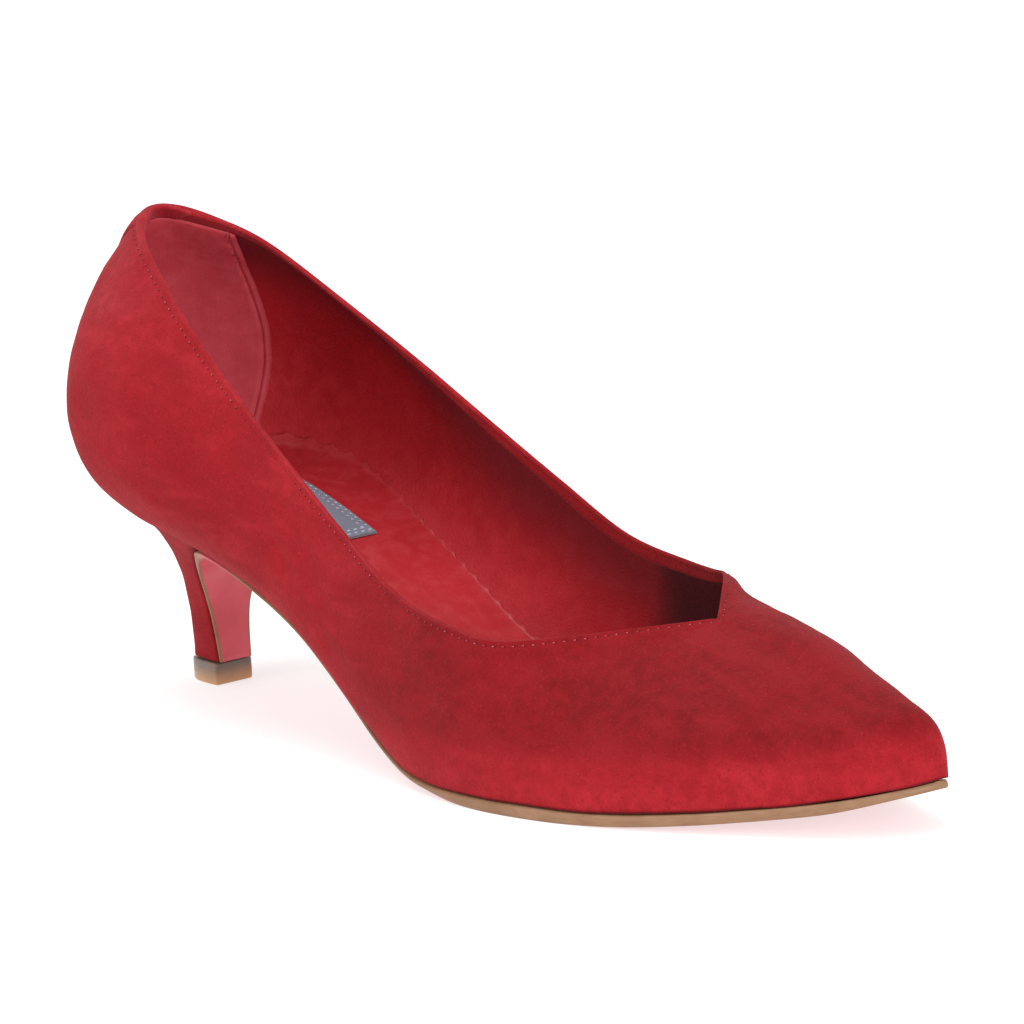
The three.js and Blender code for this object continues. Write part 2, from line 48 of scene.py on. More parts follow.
# The last's tables, as shares: at is the place along the last, 1 at the toe
outlineTable = ("at lateral medial swing footOut footUp lift spring", [
    [1.0, 0.0, 0.0, 1.0, 0.0, 0.6, 0.0, 1.0],
    [0.985, 0.17, 0.17, 0.82, 0.01, 0.6, 0.0, 0.87],
    [0.94, 0.335, 0.33, 0.52, 0.02, 0.58, 0.0, 0.6],
    [0.88, 0.506, 0.5, 0.36, 0.03, 0.55, 0.0, 0.36],
    [0.82, 0.672, 0.665, 0.23, 0.04, 0.52, 0.0, 0.17],
    [0.76, 0.811, 0.805, 0.105, 0.05, 0.48, 0.0, 0.045],
    [0.7, 0.905, 0.89, 0.02, 0.06, 0.42, 0.0, 0.0],
    [0.64, 0.962, 0.915, 0.0, 0.07, 0.38, 0.0, 0.0],
    [0.58, 0.975, 0.87, 0.0, 0.08, 0.34, 0.0, 0.0],
    [0.51, 0.91, 0.76, 0.0, 0.12, 0.3, 0.015, 0.0],
    [0.44, 0.78, 0.63, 0.0, 0.19, 0.28, 0.11, 0.0],
    [0.37, 0.67, 0.54, 0.0, 0.25, 0.28, 0.33, 0.0],
    [0.3, 0.61, 0.53, 0.0, 0.29, 0.28, 0.595, 0.0],
    [0.22, 0.585, 0.56, 0.0, 0.4, 0.28, 0.815, 0.0],
    [0.14, 0.57, 0.57, 0.0, 0.53, 0.26, 0.95, 0.0],
    [0.07, 0.49, 0.49, 0.0, 0.57, 0.23, 0.99, 0.0],
    [0.025, 0.34, 0.34, 0.0, 0.5, 0.21, 1.0, 0.0],
    [0.0, 0.0, 0.0, 0.0, 0.4, 0.21, 1.0, 0.0],
])
ridgeTable = ("at rise swing rimOut slant", [
    [1.0, 0.0, 1.0, 0.0, 0.0],
    [0.985, 0.213, 0.86, 0.13, 0.13],
    [0.94, 0.313, 0.7, 0.23, 0.28],
    [0.88, 0.406, 0.6, 0.32, 0.37],
    [0.8, 0.508, 0.52, 0.43, 0.45],
    [0.7355, 0.555, 0.47, 0.46, 0.4],
])
toplineTable = ("at lateral medial rise medialUp rimOut rimDown lateralSlant medialSlant", [
    [0.7355, -0.133, 0.133, 0.52, 0, 0.46, 0.0, 0.4, 0.4],
    [0.684, 0.27, 0.43, 0.48, 0.08, 0.36, 0.1, 0.38, 0.28],
    [0.648, 0.55, 0.605, 0.45, 0.085, 0.26, 0.22, 0.28, 0.2],
    [0.61, 0.76, 0.73, 0.424, 0.065, 0.16, 0.34, 0.14, 0.1],
    [0.56, 0.838, 0.8, 0.431, 0.028, 0.1, 0.4, 0, 0],
    [0.48, 0.82, 0.78, 0.46, 0.005, 0.1, 0.42, 0, 0],
    [0.4, 0.76, 0.728, 0.561, 0, 0.13, 0.42, 0, 0],
    [0.32, 0.695, 0.659, 0.667, 0, 0.2, 0.42, 0, 0],
    [0.24, 0.625, 0.585, 0.769, 0, 0.34, 0.42, 0, 0],
    [0.16, 0.54, 0.475, 0.872, 0, 0.555, 0.38, 0, 0],
    [0.08, 0.405, 0.34, 0.97, 0, 0.63, 0.34, 0, 0],
    [0.02, 0.21, 0.165, 0.995, 0, 0.515, 0.33, 0, 0],
    [0.0, 0.0, 0.0, 1.0, 0, 0.45, 0.33, 0, 0],
])


def turnOf(at):
    return np.arccos(np.clip(2 * np.asarray(at, float) - 1, -1, 1))


def atOf(turn):
    return (1 + np.cos(turn)) / 2


def smooth(value, low, high):
    share = np.clip((value - low) / (high - low), 0, 1)
    return share * share * (3 - 2 * share)


# A smooth curve through one column; past an end it goes on as a mirror image, or its negative
def column(table, key, toeSign, heelSign):
    place = table[0].split().index(key)
    t = [float(turnOf(row[0])) for row in table[1]]
    v = [row[place] for row in table[1]]
    head = [(2 * t[0] - t[1], toeSign * v[1])] if toeSign else []
    tail = [(2 * t[-1] - t[-2], heelSign * v[-2])] if heelSign else []
    knots = np.array(head + list(zip(t, v)) + tail)
    span = np.diff(knots[:, 0])
    secant = np.diff(knots[:, 1]) / span
    inner = (secant[:-1] * span[1:] + secant[1:] * span[:-1]) / (span[:-1] + span[1:])
    slope = np.concatenate([secant[:1], inner, secant[-1:]])

    def at(turn):
        i = np.clip(np.searchsorted(knots[:, 0], turn, side="left") - 1, 0, len(span) - 1)
        u = np.clip((turn - knots[i, 0]) / span[i], 0, 1)
        rest = 1 - u
        return (knots[i, 1] * (1 + 2 * u) * rest**2 + slope[i] * span[i] * u * rest**2
                + knots[i + 1, 1] * (3 - 2 * u) * u**2 - slope[i + 1] * span[i] * rest * u**2)
    return at


def columns(table, signs):
    return {key: column(table, key, *pair) for key, pair in signs.items()}


foot = columns(outlineTable, {"lateral": (-1, -1), "medial": (-1, -1), "swing": (1, 1), "footOut": (-1, 1),
                              "footUp": (1, 1), "lift": (1, 1), "spring": (1, 1)})
vamp = columns(ridgeTable, {"rise": (-1, 0), "swing": (1, 0), "rimOut": (-1, 0), "slant": (1, 0)})
collar = columns(toplineTable, {"lateral": (0, -1), "medial": (0, -1), "rise": (0, 1), "medialUp": (0, 1),
                                "rimOut": (0, 1), "rimDown": (0, 1), "lateralSlant": (0, 1),
                                "medialSlant": (0, 1)})
throatTurn = float(turnOf(last["throatShare"]))


def turnAtX(x):
    return turnOf(np.clip(np.asarray(x, float) / last["length"], 0, 1))


def bottomZ(x):
    turn = turnAtX(x)
    arch = last["heelHeight"] * np.maximum(0, foot["lift"](turn))
    tipUp = last["toeSpring"] * np.maximum(0, foot["spring"](turn))
    return last["soleThickness"] + last["clearance"] + arch + tipUp


def shrink(width, inset):
    reach = 3 * np.maximum(np.abs(inset), 1e-9)
    return width - inset * np.minimum(1, width / reach)


def bySide(curves, turn, side):
    return np.where(side < 0, curves["lateral"](turn), curves["medial"](turn))


def outward(turn, side):
    def half(t):
        folded = np.where(t > math.pi, 2 * math.pi - t, np.abs(t))
        return np.where(t > math.pi, -1, np.sign(t)) * halfBall * bySide(foot, folded, side)
    step = 0.01
    dx = last["length"] * (atOf(turn + step) - atOf(turn - step))
    out = np.stack([half(turn + step) - half(turn - step), -side * dx, 0 * dx], -1)
    return out / np.linalg.norm(out, axis=-1, keepdims=True)


def featherPoint(turn, side, inset=0.0):
    half = shrink(halfBall * bySide(foot, turn, side), inset)
    x = last["length"] * atOf(turn) - inset * np.cos(turn)
    return np.stack([x, last["toeSwing"] * foot["swing"](turn) + side * half, bottomZ(x)], -1)


def ridgePoint(turn, inset):
    x = last["length"] * atOf(turn)
    rise = vamp["rise"](turn)
    tip = 1 - np.minimum(1, rise / 0.3)
    z = bottomZ(x) + shrink(last["backHeight"] * rise, inset)
    return np.stack([x - inset * tip, last["toeSwing"] * vamp["swing"](turn) + 0 * z, z], -1)


def toplinePoint(turn, side, inset=0.0):
    at = atOf(turn)
    upright = np.minimum(1, collar["rimDown"](turn) / 0.34)
    rise = collar["rise"](turn) + np.where(side > 0, collar["medialUp"](turn), 0)
    x = last["length"] * at - inset * np.cos(turn) * upright
    z = (last["soleThickness"] + last["clearance"] + last["heelHeight"] * (1 - at) ** 2
         + last["backHeight"] * rise - inset * (1 - upright))
    half = halfBall * bySide(collar, turn, side)
    return np.stack([x, side * np.where(half > 0, shrink(half, inset * upright), half), z], -1)


# The wall's rib at a turn: four handles of a cubic curve from the feather line to the ridge or topline
def ribHandles(turn, side, inset=0.0):
    onVamp = (turn <= throatTurn + 1e-9)[..., None]
    start = featherPoint(turn, side, inset)
    end = np.where(onVamp, ridgePoint(np.minimum(turn, throatTurn), inset),
                   toplinePoint(np.maximum(turn, throatTurn), side, inset))
    rise = (end - start)[..., 2]
    out = outward(turn, side)
    heelness = smooth(turn, 0.62 * math.pi, 0.85 * math.pi)[..., None]
    across = np.stack([0 * turn, side + 0 * turn, 0 * turn], -1)
    rimOutward = across * (1 - heelness) + out * heelness
    rimOutward = rimOutward / np.linalg.norm(rimOutward, axis=-1, keepdims=True)
    flat = onVamp[..., 0]
    rimOut = halfBall * np.where(flat, vamp["rimOut"](turn), collar["rimOut"](turn))
    collarSlant = np.where(side < 0, collar["lateralSlant"](turn), collar["medialSlant"](turn))
    slant = np.where(flat, vamp["slant"](turn), collarSlant)
    rimDown = np.where(flat, 0, collar["rimDown"](turn))
    handleA = start + out * (halfBall * foot["footOut"](turn))[..., None]
    handleA[..., 2] += foot["footUp"](turn) * rise
    handleB = end + rimOutward * rimOut[..., None]
    handleB[..., 2] += side * slant * rimOut - rimDown * rise
    return start, handleA, handleB, end


def upperPoint(turn, side, v, inset=0.0):
    turn, side, v, inset = np.broadcast_arrays(*(np.asarray(n, float) for n in (turn, side, v, inset)))
    a, b, c, d = ribHandles(turn, side, inset)
    v = v[..., None]
    w = 1 - v
    return a * w**3 + 3 * b * w**2 * v + 3 * c * w * v**2 + d * v**3


def wallAtRise(turn, side, rise, inset):
    turn, side, rise = np.broadcast_arrays(*(np.asarray(n, float) for n in (turn, side, rise)))
    goal = featherPoint(turn, side, inset)[..., 2] + rise
    low, high = np.zeros(turn.shape), np.ones(turn.shape)
    for _ in range(16):
        middle = (low + high) / 2
        below = upperPoint(turn, side, middle, inset)[..., 2] < goal
        low, high = np.where(below, middle, low), np.where(below, high, middle)
    return upperPoint(turn, side, low, inset)


def unit(vectors):
    return vectors / np.maximum(np.linalg.norm(vectors, axis=-1, keepdims=True), 1e-9)


def toWorld(points):
    x, y = last["origin"]
    return (np.asarray(points, float) + (x, y, 0)) / 1000


def quadsOf(grid, closed=False):
    ahead = np.roll(grid, -1, axis=0) if closed else grid[1:]
    here = grid if closed else grid[:-1]
    corners = [here[:, :-1], ahead[:, :-1], ahead[:, 1:], here[:, 1:]]
    return np.stack(corners, 2).reshape(-1, 4, grid.shape[-1])


# Joins faces into one mesh. Columns past the third are kept as point attributes, named in extras.
def meshFrom(name, quads, extras=(), closed=True, upHint=None):
    quads = np.concatenate(quads)
    flat = quads.reshape(-1, quads.shape[-1])
    keys = np.round(flat[:, :3] * 500).astype(np.int64)
    _, first, index = np.unique(keys, axis=0, return_index=True, return_inverse=True)
    corners = flat[first]
    faces = []
    for a, b, c, d in index.reshape(-1, 4).tolist():
        ring = [a]
        for n in (b, c, d):
            if n not in ring:
                ring.append(n)
        if len(ring) > 2:
            faces.append(ring)
    p = corners[:, :3]
    tris = np.array([(r[0], r[k], r[k + 1]) for r in faces for k in range(1, len(r) - 1)])
    a, b, c = p[tris[:, 0]], p[tris[:, 1]], p[tris[:, 2]]
    if closed:
        turnedIn = np.einsum("ij,ij->i", a, np.cross(b, c)).sum() < 0
    else:
        turnedIn = (np.cross(b - a, c - a) @ np.asarray(upHint, float)).sum() < 0
    if turnedIn:
        faces = [ring[::-1] for ring in faces]
    mesh = bpy.data.meshes.new(name)
    mesh.from_pydata(toWorld(p).tolist(), [], faces)
    for k, extra in enumerate(extras):
        values = corners[:, 3 + k].astype(np.float32)
        mesh.attributes.new(extra, "FLOAT", "POINT").data.foreach_set("value", values)
    mesh.shade_smooth()
    made = bpy.data.objects.new(name, mesh)
    bpy.context.scene.collection.objects.link(made)
    return made


def readPoints(made, what="co"):
    numbers = np.zeros(len(made.data.vertices) * 3, np.float32)
    if what == "co":
        made.data.vertices.foreach_get("co", numbers)
    else:
        made.data.vertex_normals.foreach_get("vector", numbers)
    return numbers.reshape(-1, 3).astype(float)


def pushOut(made, millimetres):
    co = readPoints(made) + readPoints(made, "normal") * (np.asarray(millimetres) / 1000)[:, None]
    made.data.vertices.foreach_set("co", co.astype(np.float32).ravel())
    made.data.update()


def writeAttribute(made, name, values):
    attribute = made.data.attributes.get(name) or made.data.attributes.new(name, "FLOAT", "POINT")
    attribute.data.foreach_set("value", np.asarray(values, np.float32))


# Distance in mm from each point of a piece to a line given in the last's millimetres
def distanceTo(made, line):
    tree = kdtree.KDTree(len(line))
    for i, place in enumerate(toWorld(line)):
        tree.insert(place, i)
    tree.balance()
    return np.array([tree.find(co)[2] for co in readPoints(made)]) * 1000


def denser(line, gap=0.3):
    line = np.asarray(line, float)
    runs = np.concatenate([[0], np.cumsum(np.linalg.norm(np.diff(line, axis=0), axis=1))])
    places = np.linspace(0, runs[-1], max(2, int(runs[-1] / gap)))
    return np.stack([np.interp(places, runs, line[:, k]) for k in range(3)], 1)


def blur(rows, times=1, periodic=False):
    rows = np.asarray(rows, float)
    for _ in range(times):
        if periodic:
            rows = (np.roll(rows, 1, 0) + 2 * rows + np.roll(rows, -1, 0)) / 4
        else:
            rows = np.concatenate([rows[:1], (rows[:-2] + 2 * rows[1:-1] + rows[2:]) / 4, rows[-1:]])
    return rows


def linear(hexColour):
    shares = [int(hexColour[i:i + 2], 16) / 255 for i in (1, 3, 5)]
    return [s / 12.92 if s <= 0.04045 else ((s + 0.055) / 1.055) ** 2.4 for s in shares] + [1.0]


# Adds a node: inputs by name or place, each a value or another node's socket; the rest are its settings
def addNode(tree, kind, inputs=None, **settings):
    made = tree.nodes.new(kind)
    for key, value in settings.items():
        setattr(made, key, value)
    for key, value in (inputs or {}).items():
        if isinstance(value, bpy.types.NodeSocket):
            tree.links.new(value, made.inputs[key])
        else:
            made.inputs[key].default_value = value
    return made


def newMaterial(name):
    material = bpy.data.materials.new(name)
    material.use_nodes = True
    tree = material.node_tree
    tree.nodes.clear()
    place = addNode(tree, "ShaderNodeTexCoord").outputs["Object"]
    return material, tree, place


def finishMaterial(tree, inputs):
    shader = addNode(tree, "ShaderNodeBsdfPrincipled", inputs)
    addNode(tree, "ShaderNodeOutputMaterial", {"Surface": shader.outputs[0]})


# Noise whose features are about so many millimetres across, stretched by shares along x, y and z
def noiseAt(tree, place, millimetres, stretch=(1, 1, 1), detail=2.0, rough=0.5, turned=(0, 0, 0)):
    mapped = addNode(tree, "ShaderNodeMapping", {"Vector": place, "Rotation": turned,
                                                 "Scale": [1000 / (millimetres * s) for s in stretch]})
    return addNode(tree, "ShaderNodeTexNoise", {"Vector": mapped.outputs[0], "Scale": 1.0, "Detail": detail,
                                                "Roughness": rough}).outputs["Fac"]


def ranged(tree, value, low, high, toLow=0.0, toHigh=1.0):
    return addNode(tree, "ShaderNodeMapRange", {"Value": value, "From Min": low, "From Max": high,
                                                "To Min": toLow, "To Max": toHigh},
                   interpolation_type="SMOOTHSTEP").outputs[0]


def blended(tree, share, first, second, how="MIX"):
    return addNode(tree, "ShaderNodeMix", {0: share, 6: first, 7: second}, data_type="RGBA",
                   blend_type=how).outputs[2]


def maths(tree, operation, first, second):
    return addNode(tree, "ShaderNodeMath", {0: first, 1: second}, operation=operation).outputs[0]


def attributeOf(tree, name):
    return addNode(tree, "ShaderNodeAttribute", attribute_name=name).outputs["Fac"]


# Split suede: an open nap with no gloss, lighter where it stands up or is rubbed, darker where it is laid and over
# the vamp; with painted light along the sole, a painted highlight along the topline and painted shade along the
# join to the sole
def splitSuede(name, look):
    material, tree, place = newMaterial(name)
    clouds = noiseAt(tree, place, look["cloud"], detail=3.0, rough=0.55)
    strokes = noiseAt(tree, place, look["stroke"], stretch=(3.2, 1, 1), detail=2.0, turned=(0.0, 0.5, 0.35))
    mottle = noiseAt(tree, place, look["mottle"], detail=3.0, rough=0.6)
    fibres = noiseAt(tree, place, look["fibre"], detail=3.0, rough=0.7)
    colour = blended(tree, ranged(tree, clouds, 0.3, 0.72), linear(look["laid"]), linear(look["base"]))
    colour = blended(tree, ranged(tree, strokes, 0.42, 0.72, 0.0, 0.6), colour, linear(look["raised"]))
    # Darker over the vamp, above the band along the sole
    colour = blended(tree, ranged(tree, attributeOf(tree, "vampDarkening"), 0.0, 1.0), colour,
                     linear(look["vampDarkening"]), "MULTIPLY")
    # Painted light: on the upper, lighter in a band along the sole where the floor's light bounces up, and a
    # painted highlight along the topline's fold; on the heel, lighter towards the seat
    colour = blended(tree, ranged(tree, attributeOf(tree, "bright"), 0.0, 1.0, 0.0, 0.6), colour,
                     linear(look["bright"]))
    # Paler where rubbed, and a painted highlight in a thin line along the topline's edge
    colour = blended(tree, ranged(tree, attributeOf(tree, "rubbedAndHighlight"), 0.0, 1.0, 0.0, 0.75), colour,
                     linear(look["dustAndHighlight"]))
    colour = blended(tree, ranged(tree, mottle, 0.34, 0.66, 0.5, 0.0), colour, linear(look["laid"]))
    colour = blended(tree, ranged(tree, fibres, 0.58, 0.74, 0.0, 0.26), colour, linear(look["dustAndHighlight"]))
    colour = blended(tree, ranged(tree, fibres, 0.44, 0.3, 0.0, 0.5), colour, linear(look["pit"]))
    # Darker where the needle and the back seam press the nap, and painted shade in a thin line along the join to
    # the sole
    colour = blended(tree, ranged(tree, attributeOf(tree, "pressedAndShaded"), 0.0, 1.0, 0.0, 0.8), colour,
                     linear(look["pit"]))
    height = maths(tree, "ADD", fibres, maths(tree, "MULTIPLY", mottle, 0.5))
    bump = addNode(tree, "ShaderNodeBump", {"Height": height, "Strength": look["bump"], "Distance": 0.0004})
    finishMaterial(tree, {"Base Color": colour, "Roughness": 0.95, "Specular IOR Level": 0.12,
                          "Sheen Weight": look["sheen"], "Sheen Roughness": 0.42,
                          "Sheen Tint": linear(look["sheenTint"]), "Normal": bump.outputs[0]})
    return material


suedeLook = {
    "base": "#94181F", "laid": "#84141B", "raised": "#A3232B", "bright": "#B0262F", "dustAndHighlight": "#B4464F",
    "vampDarkening": "#D2CAC4", "pit": "#560C11", "sheenTint": "#E88A90", "sheen": 0.14, "bump": 0.7,
    "cloud": 20.0, "stroke": 6.0, "mottle": 2.8,   # mm
    "fibre": 0.55,                                 # mm, coarser than real nap so that it shows
}


# Smooth leather: fine pores under a soft low gloss, lighter where worn, with painted shade where no light gets in
def smoothLeather(name, look):
    material, tree, place = newMaterial(name)
    clouds = noiseAt(tree, place, 22.0, detail=3.0)
    mottle = noiseAt(tree, place, 4.0, detail=3.0, rough=0.6)
    cells = addNode(tree, "ShaderNodeTexVoronoi", {"Vector": place, "Scale": 1000 / look["pore"]},
                    feature="DISTANCE_TO_EDGE").outputs["Distance"]
    fine = noiseAt(tree, place, look["pore"] * 0.6, detail=2.0)
    colour = blended(tree, ranged(tree, clouds, 0.3, 0.7), linear(look["dark"]), linear(look["base"]))
    colour = blended(tree, ranged(tree, mottle, 0.4, 0.7, 0.0, 0.35), colour, linear(look["light"]))
    colour = blended(tree, ranged(tree, attributeOf(tree, "worn"), 0.0, 1.0, 0.0, 0.7), colour,
                     linear(look["light"]))
    colour = blended(tree, ranged(tree, attributeOf(tree, "shaded"), 0.0, 1.0, 0.0, 0.97), colour,
                     linear(look.get("paintedShade", look["dark"])))
    height = maths(tree, "ADD", maths(tree, "MINIMUM", maths(tree, "MULTIPLY", cells, 4.0), 0.6),
                   maths(tree, "MULTIPLY", fine, 0.5))
    bump = addNode(tree, "ShaderNodeBump", {"Height": height, "Strength": look["bump"], "Distance": 0.0002})
    rough = ranged(tree, mottle, 0.35, 0.7, look["rough"] - 0.05, look["rough"] + 0.08)
    finishMaterial(tree, {"Base Color": colour, "Roughness": rough, "Specular IOR Level": look["gloss"],
                          "Sheen Weight": look["sheen"], "Sheen Roughness": 0.5,
                          "Sheen Tint": linear(look["light"]), "Normal": bump.outputs[0]})
    return material


upperSettings = {
    "toeStations": 110, "heelStations": 170,
    "roll": 0.55,          # height of the folded topline, as a share of half its thickness
    "suede": 1.0,          # thickness of the suede below the fold, mm
    "liningStart": 1.06,   # inset of the lining's outer face, just inside the suede, mm
    "edge": 1.1,           # thickness at the topline, where the layers are skived, mm
    "foldReach": 3.2,      # how far the fold goes down inside, mm
    "stitchInset": 1.3,    # stitch row's distance from the edge, mm
    "wallLevels": 44,
}
# Distances below the edge of the wall's upper rows, mm
nearLevels = np.array([0, .25, .5, .75, 1.0, 1.25, 1.5, 1.7, 1.9, 2.1, 2.3, 2.5, 2.75, 3.05, 3.4, 3.9,
                       4.6, 5.6])

toeTurns = throatTurn * (1 - np.linspace(1, 0, upperSettings["toeStations"] + 1) ** 1.5)
heelShares = np.linspace(0, 1, upperSettings["heelStations"] + 1) ** 1.25
heelTurns = throatTurn + (math.pi - throatTurn) * heelShares
allTurns = np.concatenate([toeTurns, heelTurns[1:]])
loopTurns = np.concatenate([allTurns, allTurns[-2:0:-1]])
loopSides = np.concatenate([-np.ones(len(allTurns)), np.ones(len(allTurns) - 2)])

edgeTurns = np.linspace(throatTurn, math.pi, 700)
toplineCurve = np.concatenate([toplinePoint(edgeTurns[::-1], -1.0 + 0 * edgeTurns),
                               toplinePoint(edgeTurns, 1.0 + 0 * edgeTurns)])
toplineCurve = denser(toplineCurve[::-1], 0.25)


# How far down its rib a line lies that keeps a distance to the topline; ahead of the throat it closes
def ribDrop(turn, side, distance):
    collarTurn = np.maximum(turn, throatTurn)
    ahead = np.minimum(collarTurn + 0.012, math.pi)
    behind = np.maximum(ahead - 0.016, throatTurn)
    along = unit(toplinePoint(ahead, side) - toplinePoint(behind, side))
    _, _, handle, end = ribHandles(collarTurn, side)
    rib = unit(end - handle)
    drop = distance / np.maximum(np.linalg.norm(np.cross(along, rib), axis=-1), 0.3)
    reach = distance / 0.74
    past = last["length"] * (atOf(turn) - atOf(throatTurn))
    return np.where(turn < throatTurn, drop * np.clip(1 - past / reach, 0, 1), drop)


def ribSpeed(turn, side, inset):
    _, _, handle, end = ribHandles(turn, side, inset)
    return 3 * np.linalg.norm(end - handle, axis=-1)


# Shares of the rib for each station and level, dense under the edge
def ribLevels(turn, side, distance, wallLevels):
    speed = np.maximum(ribSpeed(turn, side, 0.0 * turn), 1.0)
    top = 1 - ribDrop(turn, side, distance) / speed
    near = top[:, None] - nearLevels[None] * np.minimum(1 / speed, 0.03)[:, None]
    below = near[:, -1:] * (1 - np.linspace(0, 1, wallLevels + 1)[None, 1:])
    return np.concatenate([near, below], 1)[:, ::-1]


def edgeGap(points):
    tree = kdtree.KDTree(len(toplineCurve))
    for i, place in enumerate(toplineCurve):
        tree.insert(place, i)
    tree.balance()
    shape = points.shape[:-1]
    return np.array([tree.find(p)[2] for p in points.reshape(-1, 3)]).reshape(shape)


# Rounds the fold between vamp and collar at the throat, away from the edge
def easeThroat(grids, gap):
    near = np.exp(-((loopTurns - throatTurn) / 0.22) ** 2)[:, None]
    ends = upperPoint(loopTurns, loopSides, 1.0, 0.0)[:, None]
    share = near * smooth(np.minimum(gap, np.linalg.norm(grids[0] - ends, axis=-1)), 1.0, 7.0)
    return [grid + (blur(grid, 400, True) - grid) * share[..., None] for grid in grids]


# A shell between two insets of the wall, with an edge at a distance from the topline, rolled or square
def wallShell(name, outer, inner, distance, roll, wallLevels):
    side = loopSides
    levels = ribLevels(loopTurns, side, distance, wallLevels)
    turns = np.repeat(loopTurns[:, None], levels.shape[1], 1)
    sides = np.repeat(side[:, None], levels.shape[1], 1)
    outerGrid = upperPoint(turns, sides, levels, outer)
    rimGap = edgeGap(outerGrid)
    innerGrid = upperPoint(turns, sides, levels, inner(rimGap) if callable(inner) else inner)
    outerGrid, innerGrid = easeThroat([outerGrid, innerGrid], rimGap)
    quads = [quadsOf(outerGrid, True), quadsOf(innerGrid, True)[:, ::-1]]
    foot = np.stack([innerGrid[:, 0], outerGrid[:, 0]], 1)
    quads.append(quadsOf(foot, True))
    onEdge = ribDrop(loopTurns, side, distance) > 1e-6 if distance > 0 else loopTurns >= throatTurn - 1e-9
    rimOuter, rimInner = outerGrid[:, -1], innerGrid[:, -1]
    places = np.flatnonzero(onEdge)
    n = len(loopTurns)
    start = places[0]
    ring = [i for i in range(start, places[-1] + 1) if onEdge[i]]
    ring = [start - 1] + ring + [(ring[-1] + 1) % n]
    middle = (rimOuter[ring] + rimInner[ring]) / 2
    along = unit(np.roll(middle, -1, 0) - np.roll(middle, 1, 0))
    through = unit(rimOuter[ring] - rimInner[ring])
    openWay = unit(np.cross(along, through))
    ribUp = unit(rimOuter[ring] - outerGrid[ring, -2])
    if np.einsum("ij,ij->i", openWay, ribUp)[5:-5].sum() < 0:
        openWay = -openWay
    openWay = unit(blur(openWay, 3, True))
    radius = np.linalg.norm(rimOuter[ring] - rimInner[ring], axis=1)[:, None] / 2
    steps = np.linspace(0, math.pi, 9 if roll > 0 else 3)
    rolled = np.stack([middle + (rimOuter[ring] - rimInner[ring]) / 2 * math.cos(a)
                       + openWay * radius * roll * math.sin(a) for a in steps], 1)
    rolled[:, 0], rolled[:, -1] = rimOuter[ring], rimInner[ring]
    rolled[0], rolled[-1] = rolled[0], rolled[0]
    quads.append(quadsOf(rolled))
    return meshFrom(name, quads)


def foldedInset(gap):
    skived = (last["wall"] - upperSettings["edge"]) * (1 - smooth(gap, 0.0, 3.0))
    awayFromTab = 1 - smooth(loopTurns, math.pi - 0.45, math.pi - 0.3)[:, None]
    thinned = (last["wall"] - upperSettings["suede"]) * smooth(gap, 3.0, 3.7)
    return last["wall"] - skived * awayFromTab - thinned


print("upper")
suedeUpper = wallShell("suedeUpper", 0.0, foldedInset, upperSettings["roll"], 1.0,
                       upperSettings["wallLevels"])
lining = wallShell("upperLining", upperSettings["liningStart"], last["wall"] - 0.02,
                   upperSettings["foldReach"], 0.6, 30)

# Creases and dents, given one by one: side, first and last place as (x in mm, share of the wall), width and depth
# in mm
handMarks = [
    (-1, (62, 0.86), (84, 0.60), 2.6, 0.30),
    (-1, (72, 0.90), (97, 0.66), 2.2, 0.22),
    (-1, (118, 0.80), (138, 0.52), 3.0, 0.22),
    (-1, (166, 0.74), (172, 0.50), 1.6, 0.30),
    (-1, (150, 0.60), (171, 0.38), 2.4, 0.22),
    (-1, (186, 0.70), (199, 0.46), 2.6, 0.20),
    (-1, (20, 0.56), (44, 0.44), 3.4, 0.30),
    (-1, (14, 0.78), (30, 0.66), 2.8, 0.22),
    (-1, (98, 0.40), (124, 0.28), 3.0, 0.22),
    (1, (60, 0.86), (82, 0.58), 2.6, 0.28),
    (1, (126, 0.74), (142, 0.50), 2.8, 0.24),
    (1, (178, 0.80), (190, 0.52), 2.6, 0.22),
    (1, (24, 0.52), (50, 0.42), 3.2, 0.28),
]


def markDepth(made, marks):
    total = np.zeros(len(made.data.vertices))
    for side, (x0, v0), (x1, v1), width, depth in marks:
        share = np.linspace(0, 1, 40)
        bow = 0.02 * np.sin(share * math.pi)
        line = upperPoint(turnAtX(x0 + (x1 - x0) * share), side + 0 * share,
                          v0 + (v1 - v0) * share + bow, 0.0)
        gap = distanceTo(made, line)
        total -= depth * (np.exp(-(gap / width) ** 2) - 0.45 * np.exp(-((gap - 1.7 * width) / width) ** 2))
    return total


def clump(co, millimetres, seed):
    source = np.random.default_rng(seed)
    total = np.zeros(len(co))
    for _ in range(9):
        way = unit(source.normal(size=3)) * 2 * math.pi / (millimetres * source.uniform(0.7, 1.5))
        total += np.sin(co @ way * 1000 + source.uniform(0, 6.28))
    return total / 3


co = readPoints(suedeUpper)
gap = distanceTo(suedeUpper, toplineCurve)
normals = readPoints(suedeUpper, "normal")
seam = upperSettings["stitchInset"]
local = co * 1000 - (last["origin"][0], last["origin"][1], 0)
rise = local[:, 2] - bottomZ(local[:, 0])
